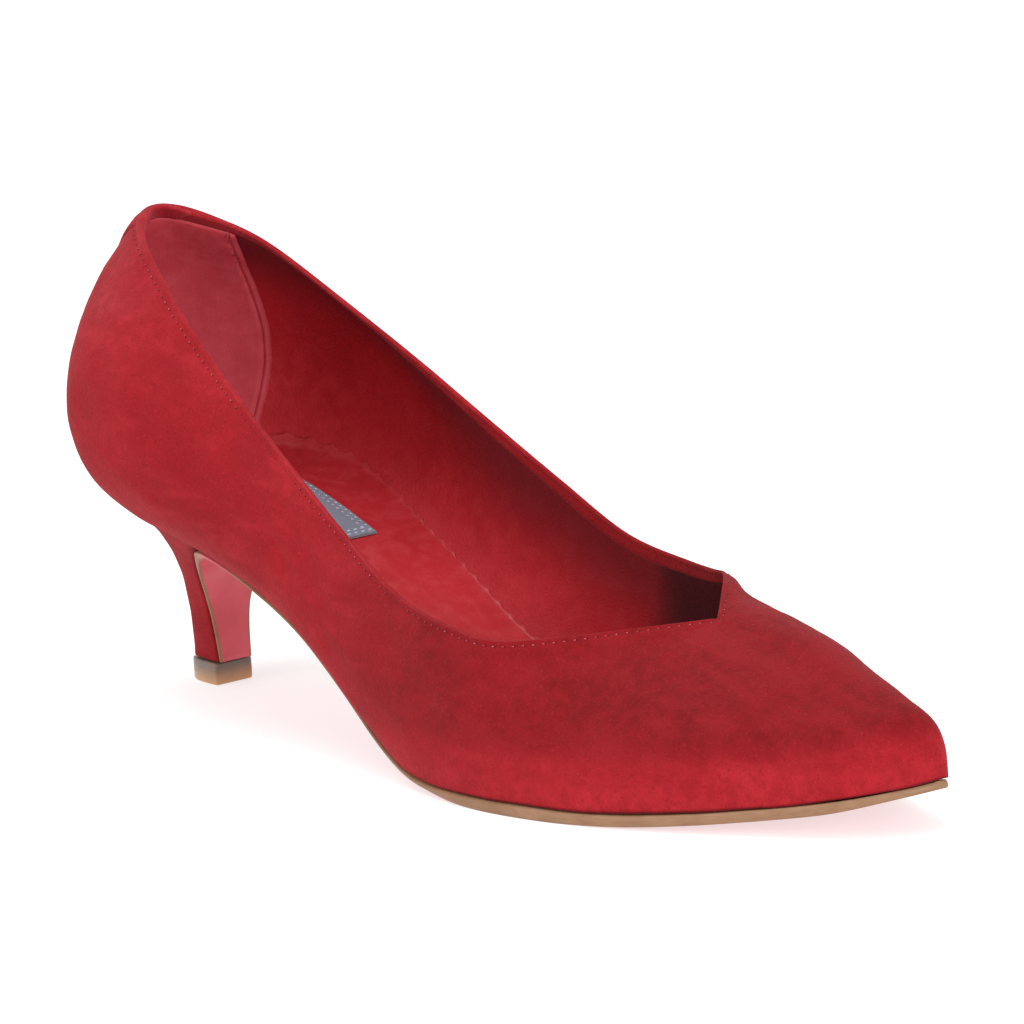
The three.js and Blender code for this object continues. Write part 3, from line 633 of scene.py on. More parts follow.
# Points of the outer face: those at no inset. The inner face lies about a wall's thickness inside.
outerTree = kdtree.KDTree(len(loopTurns) * 40)
shares = np.linspace(0, 1, 40)
outerCloud = upperPoint(loopTurns[:, None], loopSides[:, None], shares[None], 0.0).reshape(-1, 3)
for i, place in enumerate(outerCloud):
    outerTree.insert(place, i)
outerTree.balance()
inside = np.zeros(len(local))
for i, p in enumerate(local):
    offset = Vector(p) - outerTree.find(p)[0]
    inside[i] = -offset.dot(Vector(normals[i]))
outerFace = inside > -0.35
puff = 0.03 * np.exp(-((gap - 0.6) / 0.3) ** 2)
groove = -0.07 * np.exp(-((gap - seam) / 0.4) ** 2)
settle = 0.02 * np.exp(-((gap - seam - 1.3) / 0.8) ** 2)
backSeam = -0.28 * np.exp(-((local[:, 1]) / 0.42) ** 2) * (local[:, 0] < 30) * smooth(gap, 9, 14)
ripple = 0.10 * clump(co, 17.0, 4) + 0.035 * clump(co, 5.0, 9)
push = np.where(outerFace, puff + groove + settle + backSeam + markDepth(suedeUpper, handMarks)
                + ripple * smooth(gap, 1.5, 6), 0)
pushOut(suedeUpper, push)
# Paler towards the top of the back counter, more in some places than others
counterPale = (0.42 * smooth(70 - local[:, 0], 0, 70) * smooth(rise, 20, 52)
               * (0.8 + 0.25 * clump(co, 14.0, 5)))
# Painted highlight: a thin pale line along the topline's edge
edgeHighlight = np.exp(-((gap - 0.1) / 0.25) ** 2) * 0.35
writeAttribute(suedeUpper, "rubbedAndHighlight", np.clip(edgeHighlight + counterPale, 0, 1))
# Painted light: a lighter band along the sole, stronger towards the toe, where the floor's light bounces up, and a
# painted highlight near the topline's fold
soleBounceLight = smooth(13 - rise, 0, 11) * (0.5 + 0.3 * smooth(local[:, 0], 110, 200))
foldHighlight = 0.12 * np.exp(-(gap / 3.0) ** 2)
writeAttribute(suedeUpper, "bright", (soleBounceLight + foldHighlight) * (0.85 + 0.2 * clump(co, 12.0, 3)))
# Darker at the stitch row's needle holes and the back seam, and painted shade in a thin line along the join to the
# sole at the forefoot
writeAttribute(suedeUpper, "pressedAndShaded", np.exp(-((gap - seam) / 0.3) ** 2) * 0.25
               + smooth(0.8 - rise, 0, 0.8) * 0.9 * smooth(local[:, 0], 120, 165)
               + np.where(backSeam < -0.1, 0.5, 0))
# Darker over the vamp, above the band along the sole
writeAttribute(suedeUpper, "vampDarkening", smooth(local[:, 0], 70, 150) * smooth(rise, 6, 16))
suedeUpper.data.materials.append(splitSuede("splitSuede", suedeLook))

liningLook = {"base": "#AE222A", "dark": "#A21E26", "light": "#BC2E35", "paintedShade": "#2C1519",
              "pore": 1.1, "bump": 0.25, "rough": 0.5, "gloss": 0.25, "sheen": 0.03}
liningGap = distanceTo(lining, toplineCurve)
liningCo = readPoints(lining) * 1000 - (last["origin"][0], last["origin"][1], 0)
# Painted shade on the lining: dark below the collar, fading at the very back, and under the vamp at the throat
underCollar = 0.64 * smooth(34 - liningGap, 0, 30) * smooth(liningCo[:, 0], -10, 12)
underVamp = smooth(liningCo[:, 0], 108, 140)
writeAttribute(lining, "shaded", np.maximum(underCollar, underVamp))
lining.data.materials.append(smoothLeather("pigskinLining", liningLook))
for piece in (suedeUpper, lining):
    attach(piece, "root")
    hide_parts("upper")
print("upper done", len(suedeUpper.data.polygons), len(lining.data.polygons))


# Rings of points joined into a closed tube, with its ends filled from their middles
def tubeFrom(name, rings, extras=()):
    rings = np.asarray(rings, float)
    closed = np.concatenate([rings, rings[:, :1]], 1)
    quads = [quadsOf(closed)]
    for ring in (closed[0], closed[-1]):
        middle = np.repeat(ring[:-1].mean(0)[None], len(ring), 0)
        quads.append(quadsOf(np.stack([ring, middle])))
    return meshFrom(name, quads, extras)


def carry(piece, slotName, *nodes):
    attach(piece, "root")
    if nodes:
        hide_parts(*nodes)


# The sock: a soft sheet over the insole, padded under the heel, where its pinked edge climbs the wall
sockSettings = {
    "board": 2.3, "thickness": 1.0, "heelPad": 2.5, "padFrom": 15.0, "padTo": 60.0,
    "toothPitch": 4.6, "toothDepth": 0.75, "crown": 0.8, "wallGap": 2.15, "sheet": 0.3,
    "wallRows": 9, "floorRows": 22,
}


def padShare(x):
    return 1 - smooth(x, sockSettings["padFrom"], sockSettings["padTo"])


def sockHeight(x):
    s = sockSettings
    return bottomZ(x) + s["board"] + s["thickness"] + s["heelPad"] * padShare(x)


def sockSurface(x, y):
    turn = turnAtX(x)
    centre = last["toeSwing"] * foot["swing"](turn)
    half = np.maximum(halfBall * (foot["lateral"](turn) + foot["medial"](turn)) / 2 - 3, 4)
    crown = sockSettings["crown"] * np.maximum(0, 1 - ((y - centre) / half) ** 2)
    return sockHeight(x) + crown * (0.35 + 0.65 * padShare(x))


# Height of the sock's edge over its floor, by x: what the photo shows on the inner wall
edgeRise = np.array([(0, 4.4), (12, 4.2), (21, 2.9), (35, 1.1), (52, 0.5), (68, 0.4), (85, 0.7), (110, 0.8),
                     (248, 0.5)])


def buildSock():
    s = sockSettings
    fine = np.linspace(turnOf(0.985), math.pi, 3000)
    steps = np.linalg.norm(np.diff(featherPoint(fine, 1.0, 3.0), axis=0), axis=1)
    run = np.concatenate([[0], np.cumsum(steps)])
    count = int(run[-1] / 0.46)
    turns = np.interp(np.linspace(0, run[-1], count), run, fine)
    runs = np.interp(turns, fine, run)
    tooth = s["toothDepth"] * (1 - np.abs(np.sin(math.pi * runs / s["toothPitch"])) ** 0.8)
    halves = []
    for side in (-1.0, 1.0):
        x = last["length"] * atOf(turns)
        edge = np.interp(x, edgeRise[:, 0], edgeRise[:, 1]) + tooth - 0.5 * s["toothDepth"]
        corner = featherPoint(turns, side, s["wallGap"])
        centre = last["toeSwing"] * foot["swing"](turns)
        half = np.abs(corner[:, 1] - centre)
        climb, spread = np.linspace(1, 0, s["wallRows"]), np.linspace(0, 1, s["floorRows"])[1:] ** 1.2
        q = np.concatenate([edge[:, None] * climb[None], -half[:, None] * spread[None]], 1)
        floorY = centre[:, None] + side * np.maximum(half[:, None] + np.minimum(q, 0), 0)
        floorX = np.repeat(corner[:, :1], q.shape[1], 1)
        floor = np.stack([floorX, floorY, sockSurface(floorX, floorY)], -1)
        floorRise = (sockHeight(x) - bottomZ(x))[:, None] + np.maximum(q, 0)
        wall = wallAtRise(np.repeat(turns[:, None], q.shape[1], 1), side, floorRise, s["wallGap"])
        grid = np.where((q > 0)[..., None], wall, floor)
        grid = np.swapaxes(blur(np.swapaxes(grid, 0, 1), 5), 0, 1)
        inward = smooth(np.arange(q.shape[1]), s["wallRows"] / 2, s["wallRows"])[None, :, None]
        grid = grid + (blur(grid, 30) - grid) * inward
        halves.append(grid)
    across = np.concatenate([halves[0], halves[1][:, -2::-1]], 1)
    sheet = meshFrom("sockLining", [quadsOf(across)], closed=False, upHint=(0, 0, 1))
    thick = sheet.modifiers.new("thickness", "SOLIDIFY")
    thick.thickness, thick.offset = s["sheet"] / 1000, -1.0
    return sheet


print("sock")
sock = buildSock()
sockLook = {"base": "#AE252C", "dark": "#A22026", "light": "#BA363C", "pore": 1.2, "bump": 0.18,
            "rough": 0.42, "gloss": 0.4, "sheen": 0.1}
sock.data.materials.append(smoothLeather("vegTannedSockLeather", sockLook))
carry(sock, "sock_leather", "sock")

# The heel grip: soft leather round the inside of the back, with a stitched front edge
gripSettings = {
    "thickness": 0.95, "gap": 1.84, "topDrop": 3.3, "bottomShare": 0.13,
    "front": [(0, 12.6), (0.06, 11.7), (0.18, 10.9), (0.46, 10.7), (0.6, 10.1), (0.7, 9.3), (0.82, 8.3),
              (1, 7.0)],   # share of the way down, and mm from the back
    "beadInset": 1.7, "stations": 150, "rows": 56,
}


def buildGrip():
    s = gripSettings
    front = np.array(s["front"])
    down = np.linspace(0, 1, s["rows"])
    reach = turnAtX(np.interp(down, front[:, 0], front[:, 1]))
    share = np.linspace(-1, 1, 2 * s["stations"] + 1)
    share = np.sign(share) * (1 - (1 - np.abs(share)) ** 1.35)
    turn = math.pi - np.abs(share)[:, None] * (math.pi - reach)[None]
    side = np.where(share < 0, -1.0, 1.0)[:, None] + 0 * turn
    top = 1 - ribDrop(turn, side, s["topDrop"]) / ribSpeed(turn, side, 0 * turn)
    v = top + (s["bottomShare"] - top) * down[None]
    near = upperPoint(turn, side, v, s["gap"])
    frontLine = np.concatenate([near[0], near[-1]])
    tree = kdtree.KDTree(len(frontLine))
    for i, place in enumerate(frontLine):
        tree.insert(place, i)
    tree.balance()
    e = np.array([tree.find(p)[2] for p in near.reshape(-1, 3)]).reshape(turn.shape)
    e = np.minimum(e, np.linalg.norm(near - near[:, :1], axis=-1) * 1.4 + 0.1)
    thick = s["thickness"] * (1 - np.exp(-e / 0.32)) - 0.42 * np.exp(-((e - s["beadInset"]) / 0.42) ** 2)
    folds = 0.0
    for x, slope, size in ((5, 0.6, 0.3), (8, 0.9, 0.22), (2.5, 0.3, 0.2)):
        distance = np.abs(down[None] - 0.05 - slope * 0.05 * (near[..., 0] / x)) * 40
        folds = folds + size * np.exp(-(distance / 1.1) ** 2) * smooth(near[..., 0], -2, 8) * (side > 0)
    far = upperPoint(turn, side, v, s["gap"] + np.maximum(thick, 0.05) + 0.22 * folds)
    rim = [np.stack([near[0], far[0]], 1), np.stack([far[-1], near[-1]], 1),
           np.stack([far[:, 0], near[:, 0]], 1), np.stack([near[:, -1], far[:, -1]], 1)]
    quads = [quadsOf(near), quadsOf(far)[:, ::-1], quadsOf(rim[0])[:, ::-1], quadsOf(rim[1])[:, ::-1],
             quadsOf(rim[2]), quadsOf(rim[3])]
    return meshFrom("heelGripLeather", quads)


print("heel grip")
grip = buildGrip()
gripLook = {"base": "#BE434D", "dark": "#AE3741", "light": "#C8535D", "pore": 0.9, "bump": 0.2,
            "rough": 0.68, "gloss": 0.25, "sheen": 0.35}
grip.data.materials.append(smoothLeather("napaHeelGrip", gripLook))
carry(grip, "lining_leather", "heel_grip")


# Woven label of polyester: a dull sheen over a fine rib, drawn coarser than the thread so that it shows
def wovenPolyester(name, look):
    material, tree, place = newMaterial(name)
    ribs = [addNode(tree, "ShaderNodeTexWave", {"Vector": place, "Scale": math.pi * 100 / look["thread"],
                                                "Distortion": 0.4, "Detail": 0.0},
                    wave_type="BANDS", bands_direction=way).outputs["Fac"] for way in ("X", "Y")]
    weave = maths(tree, "MULTIPLY", ribs[0], ribs[1])
    slub = noiseAt(tree, place, 3.0, stretch=(4, 1, 1))
    colour = blended(tree, ranged(tree, weave, 0.1, 0.7), linear(look["shade"]), linear(look["base"]))
    colour = blended(tree, ranged(tree, slub, 0.45, 0.7, 0.0, 0.25), colour, linear(look["light"]))
    bump = addNode(tree, "ShaderNodeBump", {"Height": weave, "Strength": 0.4, "Distance": 0.0001})
    finishMaterial(tree, {"Base Color": colour, "Roughness": 0.72, "Specular IOR Level": 0.3,
                          "Sheen Weight": 0.2, "Normal": bump.outputs[0]})
    return material


labelSettings = {"start": 15.2, "length": 40.0, "width": 24.0, "thickness": 0.45, "lift": 0.25,
                 "rows": (0.9, 2.1)}


def labelGrid(along, across, lift):
    s = labelSettings
    x = s["start"] + s["length"] * np.asarray(along)
    y = s["width"] * (np.asarray(across) - 0.5)
    edge = np.minimum(np.minimum(along, 1 - along) * s["length"], np.minimum(across, 1 - across) * s["width"])
    z = sockSurface(x, y) + lift - 0.12 * np.exp(-(edge / 0.5) ** 2) * (lift > 0.3)
    return np.stack([x, y, z], -1)


def buildLabel():
    s = labelSettings
    along, across = np.meshgrid(np.linspace(0, 1, 81), np.linspace(0, 1, 49), indexing="ij")
    low = labelGrid(along, across, s["lift"])
    high = labelGrid(along, across, s["lift"] + s["thickness"])
    quads = [quadsOf(high), quadsOf(low)[:, ::-1]]
    for a, b in ((low[0], high[0]), (high[-1], low[-1]), (high[:, 0], low[:, 0]), (low[:, -1], high[:, -1])):
        quads.append(quadsOf(np.stack([a, b], 1)))
    return meshFrom("wovenLabel", quads)


label = buildLabel()
label.data.materials.append(wovenPolyester("wovenPolyesterLabel", {
    "base": "#7A7C8A", "shade": "#656878", "light": "#8C8E9A", "thread": 0.7}))
carry(label, "label_fabric", "sock_label")

# The tab over the back seam
tabSettings = {"width": 13.0, "drop": 13.0, "tuck": 4.2, "thickness": 0.55, "gap": 0.04, "round": 3.2}


def buildTab():
    s = tabSettings
    share = np.linspace(-1, 1, 41)
    side = np.where(share < 0, -1.0, 1.0)
    step = 0.1
    stops = [("out", d) for d in np.linspace(s["drop"], 0.7, 34)]
    stops += [("roll", a) for a in np.linspace(0, math.pi, 13)]
    stops += [("in", d) for d in np.linspace(0.9, s["tuck"], 12)]
    rows = {"low": [], "high": []}
    travelled = np.cumsum([0] + [(s["drop"] - 0.7) / 33] * 33 + [2.6 / 12] * 13 + [(s["tuck"] - 0.9) / 11] * 11)
    for (kind, amount), t in zip(stops, travelled):
        toEnd = min(t, s["round"]) / s["round"]
        narrow = 1 - 0.30 * (1 - math.sqrt(max(0, 1 - (1 - toEnd) ** 2)))
        for key, off in (("low", s["gap"]), ("high", s["gap"] + s["thickness"])):
            fade = 1.0
            if key == "high":
                ends = min(t, travelled[-1] - t)
                fade = (1 - math.exp(-(ends + 0.02) / 0.3)) * (1 - np.exp(-(1 - np.abs(share) + 0.004) / 0.04))
            lift = s["gap"] + (off - s["gap"]) * fade
            drop = amount if kind != "roll" else 0.0
            v0 = 1 - drop / last["backHeight"]
            halfTurn = step * s["width"] * narrow / (2 * float(upperPoint(math.pi - step, 1.0, v0)[1]))
            turn = math.pi - np.abs(share) * halfTurn
            if kind == "out":
                v = 1 - drop / ribSpeed(turn, side, 0 * turn)
                row = upperPoint(turn, side, v, -lift)
            elif kind == "in":
                v = 1 - drop / ribSpeed(turn, side, 0 * turn)
                row = upperPoint(turn, side, v, last["wall"] + lift)
            else:
                outerEdge, innerEdge = (upperPoint(turn, side, 1 - 0.8 / ribSpeed(turn, side, 0 * turn), inset)
                                        for inset in (0.0, last["wall"]))
                middle = (outerEdge + innerEdge) / 2
                through = unit(outerEdge - innerEdge)
                _, _, handle, end = ribHandles(turn, side, 0 * turn)
                openWay = unit(end - handle)
                radius = last["wall"] / 2 + np.reshape(lift, (-1, 1)) * np.ones((len(share), 1))
                row = middle + radius * (through * math.cos(amount) + openWay * math.sin(amount))
            rows[key].append(row)
    low, high = np.array(rows["low"]), np.array(rows["high"])
    low, high = blur(low, 3), blur(high, 3)
    quads = [quadsOf(high), quadsOf(low)[:, ::-1]]
    for a, b in ((low[0], high[0]), (high[-1], low[-1]), (high[:, 0], low[:, 0]), (low[:, -1], high[:, -1])):
        quads.append(quadsOf(np.stack([a, b], 1)))
    return meshFrom("backTab", quads)


print("tab")
tab = buildTab()
co = readPoints(tab)
writeAttribute(tab, "rubbedAndHighlight", 0.35 + 0.3 * clump(co, 5.0, 6))
writeAttribute(tab, "bright", np.zeros(len(co)))
writeAttribute(tab, "pressedAndShaded", np.zeros(len(co)))
writeAttribute(tab, "vampDarkening", np.zeros(len(co)))
tab.data.materials.append(splitSuede("splitSuedeTab", {**suedeLook, "base": "#9A2029", "cloud": 8.0}))
carry(tab, "suede", "back_tab")

# The heel block, covered in the same suede; its breast lies under the outsole's flap
heelSettings = {"seat": 34.8, "front": 16.8, "depth": 10.0, "width": 8.8, "topPiece": 4.8,
                "corner": 0.45, "round": 0.8, "levels": 70, "stations": 34, "breastOut": 0.75,
                "breastFlare": 4.0, "backFlare": 2.1, "lateralLean": 0.2}


def tipOutline(u, side, rim):
    s = heelSettings
    bow = u * math.pi / 2
    half = (s["width"] / 2 + rim) * np.maximum(np.cos(bow), 0) ** s["corner"]
    reach = (s["depth"] + 2 * rim) * np.sin(bow) ** s["round"]
    return np.stack([s["front"] + rim - reach, side * half, 0 * reach], -1)


def heelPoint(u, side, level, inset=0.3):
    seatTurn = turnAtX(heelSettings["seat"])
    turn = seatTurn + u * (math.pi - seatTurn)
    seat = featherPoint(turn, side, inset)
    tip = tipOutline(u, side, 0.0)
    s = heelSettings
    along = level ** (s["breastFlare"] + (s["backFlare"] - s["breastFlare"]) * u)
    lean = np.where(side < 0, s["lateralLean"] * (1 - u), 0)
    across = lean * level + (1 - lean) * level ** np.where(side < 0, 3, s["breastFlare"])
    heelFoot = heelSettings["topPiece"] + last["clearance"]
    seatZ = seat[..., 2] - last["clearance"]
    flat = tip + (seat - tip) * np.stack([along, across, along], -1)
    flat[..., 2] = heelFoot + (seatZ - heelFoot) * level
    return flat


def ringShares(stations):
    return np.linspace(0, 1, stations + 1) ** 1.3


def buildHeel():
    s = heelSettings
    u = ringShares(s["stations"])
    levels = np.concatenate([[0, 0.004], np.linspace(0.012, 0.985, s["levels"]), [0.993, 1.0]])
    rings = []
    for level in levels:
        lv = level + 0 * u
        tuck = 0.35 if level in (0.0, 1.0) else (0.1 if level < 0.01 or level > 0.99 else 0.0)
        lateral = heelPoint(u, -1.0 + 0 * u, lv)
        medial = heelPoint(u, 1.0 + 0 * u, lv)
        breast = medial[0] + (lateral[0] - medial[0]) * np.linspace(0, 1, 12)[1:-1, None]
        ring = np.concatenate([lateral, medial[-2::-1], breast])
        ring = blur(ring, 2, True)
        ring[:, 0] += s["breastOut"] * smooth(ring[:, 0], ring[:, 0].max() - 3.0, ring[:, 0].max() - 0.5)
        middle = ring.mean(0)
        ring = ring - unit(ring - middle) * (1, 1, 0) * tuck
        rings.append(ring)
    return tubeFrom("heelCover", rings)


print("heel and sole")
heelCover = buildHeel()
co = readPoints(heelCover)
local = co * 1000 - (last["origin"][0], last["origin"][1], 0)
underSeat = bottomZ(local[:, 0]) - last["clearance"] - local[:, 2]
pushOut(heelCover, 0.06 * clump(co, 9.0, 12) * smooth(underSeat, 1, 4))
writeAttribute(heelCover, "rubbedAndHighlight", np.exp(-(underSeat / 0.5) ** 2) * 0.9)
writeAttribute(heelCover, "bright", 0.25 * smooth(underSeat, 6, 0))
writeAttribute(heelCover, "pressedAndShaded", np.exp(-((underSeat - 1.2) / 0.6) ** 2) * 0.3)
writeAttribute(heelCover, "vampDarkening", np.zeros(len(co)))
heelCover.data.materials.append(splitSuede("splitSuedeHeelCover", {
    **suedeLook, "base": "#93161F", "laid": "#7E1219", "raised": "#A02530"}))
carry(heelCover, "suede", "heel")


# Top piece: cast polyurethane, cloudy and a little see-through, honey towards its foot and grey towards its top
def polyurethane(name, look):
    material, tree, place = newMaterial(name)
    height = addNode(tree, "ShaderNodeSeparateXYZ", {0: place}).outputs["Z"]
    clouds = noiseAt(tree, place, 4.0, detail=2.0)
    level = maths(tree, "ADD", maths(tree, "MULTIPLY", height, 1000 / look["height"]),
                  maths(tree, "MULTIPLY", clouds, 0.35))
    colour = blended(tree, ranged(tree, level, 0.15, 1.05), linear(look["low"]), linear(look["high"]))
    scratch = noiseAt(tree, place, 0.5, stretch=(6, 6, 1), detail=2.0)
    rough = ranged(tree, scratch, 0.4, 0.7, 0.3, 0.5)
    bump = addNode(tree, "ShaderNodeBump", {"Height": scratch, "Strength": 0.12, "Distance": 0.0002})
    finishMaterial(tree, {"Base Color": colour, "Roughness": rough, "Specular IOR Level": 0.45,
                          "Subsurface Weight": 0.35, "Subsurface Scale": 0.004,
                          "Subsurface Radius": (1.0, 0.6, 0.3), "Coat Weight": 0.15, "Normal": bump.outputs[0]})
    return material


def buildTopPiece():
    u = ringShares(40)
    rings = []
    for z, rim in ((0.0, -0.05), (0.05, 0.15), (0.35, 0.38), (2.4, 0.42), (4.4, 0.4), (4.75, 0.3), (4.8, 0.1)):
        lateral = tipOutline(u, -1.0, rim)
        medial = tipOutline(u, 1.0, rim)
        breast = medial[0] + (lateral[0] - medial[0]) * np.linspace(0, 1, 14)[1:-1, None]
        ring = blur(np.concatenate([lateral, medial[-2::-1], breast]), 1, True)
        ring[:, 2] = z
        rings.append(ring)
    return tubeFrom("topPiece", rings)


topPiece = buildTopPiece()
topPiece.data.materials.append(polyurethane("polyurethaneTopPiece", {
    "low": "#B2875C", "high": "#6C5D52", "height": 4.8}))
carry(topPiece, "top_piece", "top_piece")


# Outsole leather: the cut edge is burnished tan, the underside is painted and polished
def soleLeather(name, look):
    material, tree, place = newMaterial(name)
    under = attributeOf(tree, "under")
    layers = noiseAt(tree, place, 0.7, stretch=(5, 5, 1), detail=2.0, rough=0.5)
    clouds = noiseAt(tree, place, 9.0, detail=3.0)
    edge = blended(tree, ranged(tree, clouds, 0.3, 0.7), linear(look["edge"]), linear(look["edgeLight"]))
    edge = blended(tree, ranged(tree, layers, 0.3, 0.6, 0.3, 0.0), edge, linear(look["edgeDark"]))
    paint = blended(tree, ranged(tree, clouds, 0.3, 0.7), linear(look["paintDark"]), linear(look["paint"]))
    scuffs = noiseAt(tree, place, 1.6, stretch=(5, 1, 1), detail=4.0, rough=0.7, turned=(0, 0, 0.3))
    paint = blended(tree, ranged(tree, scuffs, 0.62, 0.72, 0.0, 0.35), paint, linear(look["scuff"]))
    colour = blended(tree, under, edge, paint)
    rough = ranged(tree, under, 0.0, 1.0, 0.5, 0.34)
    bump = addNode(tree, "ShaderNodeBump", {"Height": layers, "Strength": 0.1, "Distance": 0.0002})
    finishMaterial(tree, {"Base Color": colour, "Roughness": rough, "Specular IOR Level": 0.4,
                          "Normal": bump.outputs[0]})
    return material


soleSettings = {"tipInset": 1.0, "tipThickness": 1.7, "rim": 0.7, "waistInset": 0.2,
                "flapThickness": 0.7, "flapSink": 0.5, "flapTop": 0.97, "flapInset": 0.4,
                "paintInset": 0.55, "waistEnds": (116.0, 158.0), "paintedTo": (42.0, 56.0),
                # share of the thickness and mm outwards, down the cut edge: full, and skived thin at the waist
                "edge": [(0.0, -0.12), (0.12, 0.0), (0.5, 0.05), (0.82, 0.0), (0.93, -0.14), (1.0, -0.42)],
                "waistEdge": [(0.0, 0.0), (0.1, 0.28), (0.24, 0.28), (0.4, -0.8), (0.7, -2.0), (1.0, -3.0)]}


def buildSole():
    s = soleSettings
    thickness = last["soleThickness"]
    turns = np.concatenate([throatTurn * np.linspace(0, 1, 90) ** 1.2,
                            np.linspace(throatTurn, math.pi, 120)[1:]])
    turns = turns[last["length"] * atOf(turns) > heelSettings["seat"] + 2 * thickness]
    x = last["length"] * atOf(turns)
    forward = smooth(x, 0.42 * last["length"], 0.6 * last["length"])
    inset = s["waistInset"] + (-s["rim"] - s["waistInset"]) * forward
    tipShare = smooth(x, 0.93 * last["length"], last["length"])
    inset = inset + s["tipInset"] * tipShare
    sides = [featherPoint(turns, side + 0 * turns, inset) - (0, 0, last["clearance"]) for side in (-1.0, 1.0)]
    u = np.linspace(0, 1, 30)
    level = s["flapTop"] * (1 - u)
    flaps = [heelPoint(0 * u, side + 0 * u, level) + (last["clearance"] + s["flapSink"], 0, 0)
             for side in (-1.0, 1.0)]
    flaps[0][:, 1] += s["flapInset"]
    flaps[1][:, 1] -= s["flapInset"]
    left = np.concatenate([sides[0], flaps[0]])
    right = np.concatenate([sides[1], flaps[1]])
    thick = np.concatenate([thickness + (s["tipThickness"] - thickness) * tipShare,
                            thickness + (s["flapThickness"] - thickness) * np.minimum(1, 3 * u)])
    left[30:] = blur(left[30:], 4)
    right[30:] = blur(right[30:], 4)
    middle = (left + right) / 2
    run = np.gradient(middle, axis=0)
    down = unit(np.stack([-run[:, 2], 0 * run[:, 0], run[:, 0]], -1))
    if down[5, 2] > 0:
        down = -down
    side = [unit(np.cross(np.gradient(line, axis=0), down)) for line in (left, right)]
    if side[0][60, 1] > 0:
        side[0] = -side[0]
    if side[1][60, 1] < 0:
        side[1] = -side[1]
    waist = np.concatenate([1 - smooth(x, *s["waistEnds"]), 1 - smooth(u, 0.0, 0.12)])
    width = np.linalg.norm(right - left, axis=1)
    give = np.minimum(1, width / 3)[:, None]
    plain = np.concatenate([1 - smooth(x, *s["paintedTo"]), 0 * u])
    full = np.ones(len(left))
    ring = []
    paint = []
    edges = []
    for line, way in ((left, side[0]), (right, side[1])):
        edge = []
        for (share, out), (thinShare, thinOut) in zip(s["edge"], s["waistEdge"]):
            at = (share + (thinShare - share) * waist)[:, None]
            reach = (out + (thinOut - out) * waist)[:, None]
            edge.append((line + down * thick[:, None] * at + way * reach * give,
                         np.maximum(waist, plain) if thinShare > 0.25 else plain))
        edges.append(edge)
    bottom = [edge[-1][0] - way * (s["paintInset"] - 0.42) * give for edge, way in zip(edges, side)]
    for place, painted in edges[0]:
        ring.append(place)
        paint.append(painted)
    for share in np.linspace(0, 1, 11):
        ring.append(bottom[0] + (bottom[1] - bottom[0]) * share)
        paint.append(full)
    for place, painted in edges[1][::-1]:
        ring.append(place)
        paint.append(painted)
    for share in np.linspace(1, 0, 7)[1:-1]:
        ring.append(left + (right - left) * share)
        paint.append(plain)
    grid = np.stack(ring, 1)
    grid = np.concatenate([grid, np.stack(paint, 1)[..., None]], 2)
    return tubeFrom("outsoleLeather", grid, extras=("under",))


outsole = buildSole()
outsole.data.materials.append(soleLeather("vegTannedSoleLeather", {
    "edge": "#845F43", "edgeDark": "#6C4B34", "edgeLight": "#8E6A4E",
    "paint": "#C8505B", "paintDark": "#BC444F", "scuff": "#B8666F"}))
carry(outsole, "sole_leather", "outsole")

# Insole board: pressed cellulose fibre, dull and finely flecked
boardMaterial, boardTree, boardPlace = newMaterial("cellulosicInsoleBoard")
boardFlecks = noiseAt(boardTree, boardPlace, 0.8, detail=3.0)
finishMaterial(boardTree, {"Base Color": blended(boardTree, boardFlecks, linear("#7A1A1E"), linear("#8E2226")),
                           "Roughness": 0.9})
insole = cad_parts["insole"]
for slotPlace in insole.material_slots:
    slotPlace.material = boardMaterial


